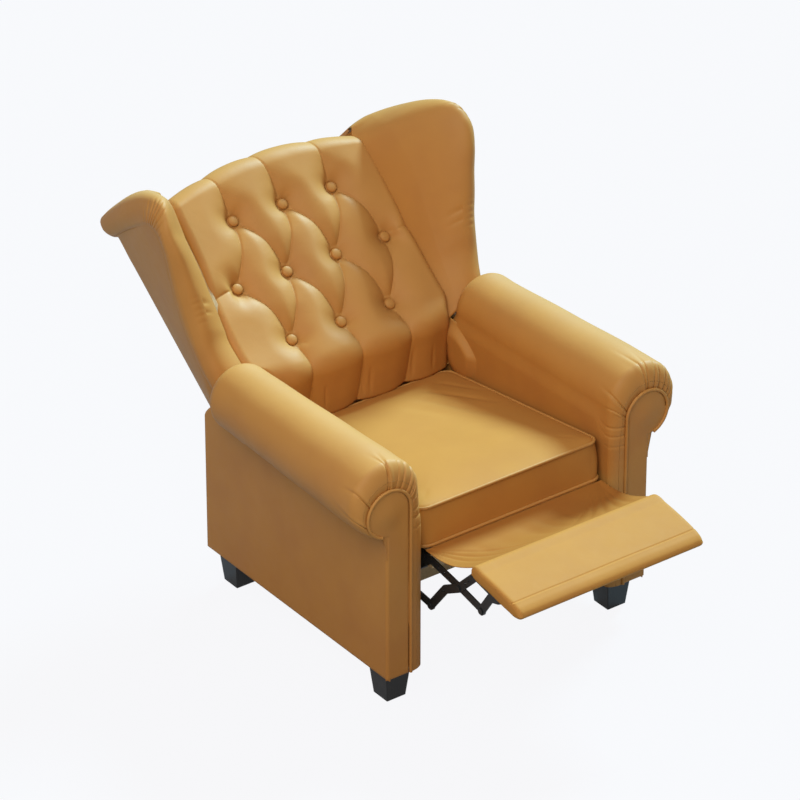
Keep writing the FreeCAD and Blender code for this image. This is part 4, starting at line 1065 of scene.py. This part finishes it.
def placeRest(across, along):
    # along runs end to end; the two ends round off
    ends, straight = rest["ends"], rest["straight"]
    travel = along * 2 - 1
    turn = np.clip((np.abs(travel) - straight) / (1 - straight), 0, 1) * math.pi / 2
    x = np.sign(travel) * (np.clip(np.abs(travel) / straight, 0, 1) * (rest["half"] - ends) + ends * np.sin(turn))
    loop = restLoop(across)
    shrink = 1 - np.cos(turn)
    cy, cz = -rest["length"] / 2, -rest["thick"] / 2 + 1
    y = loop[:, 0] + np.sign(cy - loop[:, 0]) * np.minimum(ends * shrink, np.abs(cy - loop[:, 0]))
    z = loop[:, 1] + np.sign(cz - loop[:, 1]) * np.minimum(ends * 0.8 * shrink, np.abs(cz - loop[:, 1]))
    past = loop[:, 0] + rest["crease"]
    seam = 1.5 * bell(past, 1.7) - 0.5 * bell(past + 4, 3)
    wave = (0.5 * np.sin(x / 38) * bell(past, 12) - seam) * (loop[:, 1] > -8)
    return inRest(x, y, z + wave)


def makeRest():
    piece = shapedGrid("footrestPad", 320, 150, placeRest)
    closeUp(piece)
    smoothShade(piece)
    # the footrest's upward faces carry painted light from this leather
    finishPiece(piece, mattHide, "footrest", ("footrest_pad",))


flap = {"half": 238.0, "start": (-358.0, 362.0), "end": (-524.0, 403.0), "sag": 19.0, "thick": 1.6, "length": 192.0,
        # folds that fan out from the corners by the seat: side, lean, depth
        "folds": ((1, 0.20, 3.4), (1, 0.42, 3.8), (1, 0.66, 3.4), (1, 0.93, 2.6), (1, 1.25, 1.8),
                  (-1, 0.30, 3.0), (-1, 0.62, 3.2), (-1, 1.05, 2.2)),
        # shallow dents between: place across, depth, width
        "dents": ((-20, 2.4, 16), (26, 1.8, 12), (-92, 1.6, 20), (84, 1.4, 14), (-150, 1.2, 12))}


def placeFlap(across, along):
    x = (across * 2 - 1) * flap["half"]
    (y0, z0), (y1, z1) = flap["start"], flap["end"]
    y = y0 + (y1 - y0) * along
    sag = flap["sag"] * (1 - 0.25 * np.abs(across * 2 - 1))
    z = z0 + (z1 - z0) * along - sag * np.sin(np.pi * along)
    hang = np.sin(np.pi * np.clip(along, 0, 1)) ** 0.7
    fold = np.zeros(x.shape)
    for sign, lean, deep in flap["folds"]:
        line = 6 + lean * 170 * along
        fold += deep * bell(flap["half"] - sign * x - line, 4 + 7 * along)
    for at, deep, wide in flap["dents"]:
        fold += deep * bell(x - at - 22 * along, wide) * np.sin(np.pi * along)
    edge = 1.0 * bell(flap["half"] - np.abs(x), 16)
    return inChair(x, y, z - (fold + edge) * hang)


def makeFlap():
    piece = shapedGrid("footrestFlap", 200, 70, placeFlap)
    thicken(piece, flap["thick"], 50)
    # the flap's upward faces carry painted shade from this leather
    finishPiece(piece, shadedFlapHide, None, ("footrest_flap",))
    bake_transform(piece)


makeRest()
makeFlap()
print("footrest made")


# Rear of the base and of the back

slabs = {"edge": 9.0, "thick": 8.0,
         "rear": {"low": (-338.0, 80.0), "high": (338.0, 398.0), "swell": 2.5, "line": 299.0},
         "back": {"low": (-313.0, -232.0), "high": (313.0, 292.0), "swell": 4.0, "line": -114.0, "crownFoot": 248.0}}


def paddedSlab(name, slab, place):
    # a thin upholstered panel: rounded at its edges, fullest in the middle; low and high are its corners (a, b)
    low, high = slab["low"], slab["high"]

    def spot(across, along):
        a = low[0] + (high[0] - low[0]) * across
        b = low[1] + (high[1] - low[1]) * along
        full = np.sin(np.pi * across) ** 0.6 * np.sin(np.pi * along) ** 0.6
        return place(a, b, slab["swell"] * full - roundedEdge(insetIn(a, b, low, high), slabs["edge"]))
    piece = shapedGrid(name, 150, 110, spot)
    thicken(piece, slabs["thick"], 60)
    return piece


def crownedSpot(x, s, out):
    # the cover's top edge follows the crown of the pad
    cover = slabs["back"]
    foot, head = cover["low"][1], cover["high"][1]
    top = cover["crownFoot"] + pad["crown"] * (1 - (x / pad["halfWidth"]) ** 2)
    return inBack(-x, cover["line"] - out, foot + (s - foot) * (top - foot) / (head - foot))


def makeRear():
    low = paddedSlab("rearPanel", slabs["rear"], lambda x, z, out: inChair(-x, slabs["rear"]["line"] + out, z))
    finishPiece(low, hide, "base", ("rear_panel",))
    high = paddedSlab("backCover", slabs["back"], crownedSpot)
    finishPiece(high, hide, "back", ("rear_cover",))


makeRear()
print("rear panels made")


# Floor, light and camera

studio = {"fill": 0.36, "key": (0.70, 0.30, 0.64), "keyPower": 7.6, "keySpread": 15.0, "keyColor": (0.45, 0.81, 1.0),
          "front": {"place": (-2.6, -2.0, 4.1), "size": 3.0, "power": 136},
          # what the floor gives off to the camera, and to rays that come off gloss
          "seen": 0.94, "mirrored": 0.30}


def makeStage():
    floor = addPiece("floor", bpy.ops.mesh.primitive_plane_add, size=60, location=(0, 0, -0.0005))
    material, tree = newMaterial("matt studio paper")
    ray = addNode(tree, "ShaderNodeLightPath")
    paper = addNode(tree, "ShaderNodeBsdfDiffuse", Color=fromHex("#9A9B9E"))
    glow = addNode(tree, "ShaderNodeEmission", Color=fromHex("#FCFCFE"), Strength=1.0)
    glossy = maths(tree, "MULTIPLY", (ray, "Is Glossy Ray"), studio["mirrored"])
    unlit = maths(tree, "ADD", (glossy, "Value"), (ray, "Is Transmission Ray"), clamp=True)
    part = maths(tree, "MULTIPLY_ADD", (ray, "Is Camera Ray"), studio["seen"], (unlit, "Value"), clamp=True)
    mix = addNode(tree, "ShaderNodeMixShader", links={0: (part, "Value"), 1: (paper, "BSDF"), 2: (glow, "Emission")})
    addNode(tree, "ShaderNodeOutputMaterial", links={"Surface": (mix, "Shader")})
    floor.data.materials.append(material)
    world = bpy.data.worlds.new("studio")
    bpy.context.scene.world = world
    world.use_nodes = True
    world.node_tree.nodes["Background"].inputs["Color"].default_value = fromHex("#F6F7FB")
    world.node_tree.nodes["Background"].inputs["Strength"].default_value = studio["fill"]
    bpy.ops.object.light_add(type="SUN", location=[3 * part for part in studio["key"]])
    key = bpy.context.object
    key.name = "key"
    key.data.energy = studio["keyPower"]
    key.data.color = studio["keyColor"]
    key.data.angle = math.radians(studio["keySpread"])
    key.rotation_euler = Vector(studio["key"]).to_track_quat("Z", "Y").to_euler()
    front = studio["front"]
    bpy.ops.object.light_add(type="AREA", location=front["place"])
    lamp = bpy.context.object
    lamp.name = "front"
    lamp.data.shape = "SQUARE"
    lamp.data.size = front["size"]
    lamp.data.energy = front["power"]
    lamp.rotation_euler = (Vector((0, 0, 0.5)) - Vector(front["place"])).to_track_quat("-Z", "Y").to_euler()


def makeCamera():
    view = {"place": (-5808.5, -7757.7, 6224.4), "turn": -36.6345, "rise": 30.6633, "lens": 232.35}
    data = bpy.data.cameras.new("photo")
    camera = bpy.data.objects.new("photo", data)
    bpy.context.scene.collection.objects.link(camera)
    x, y, z = view["place"]
    camera.location = (x * mm, (y + shift) * mm, z * mm)
    camera.rotation_euler = (math.radians(90 - view["rise"]), 0, math.radians(view["turn"]))
    data.sensor_width = 36
    data.sensor_fit = "HORIZONTAL"
    data.lens = view["lens"]
    data.clip_end = 60
    bpy.context.scene.camera = camera


makeStage()
makeCamera()
bpy.context.scene.view_settings.view_transform = "Standard"
print("stage ready")
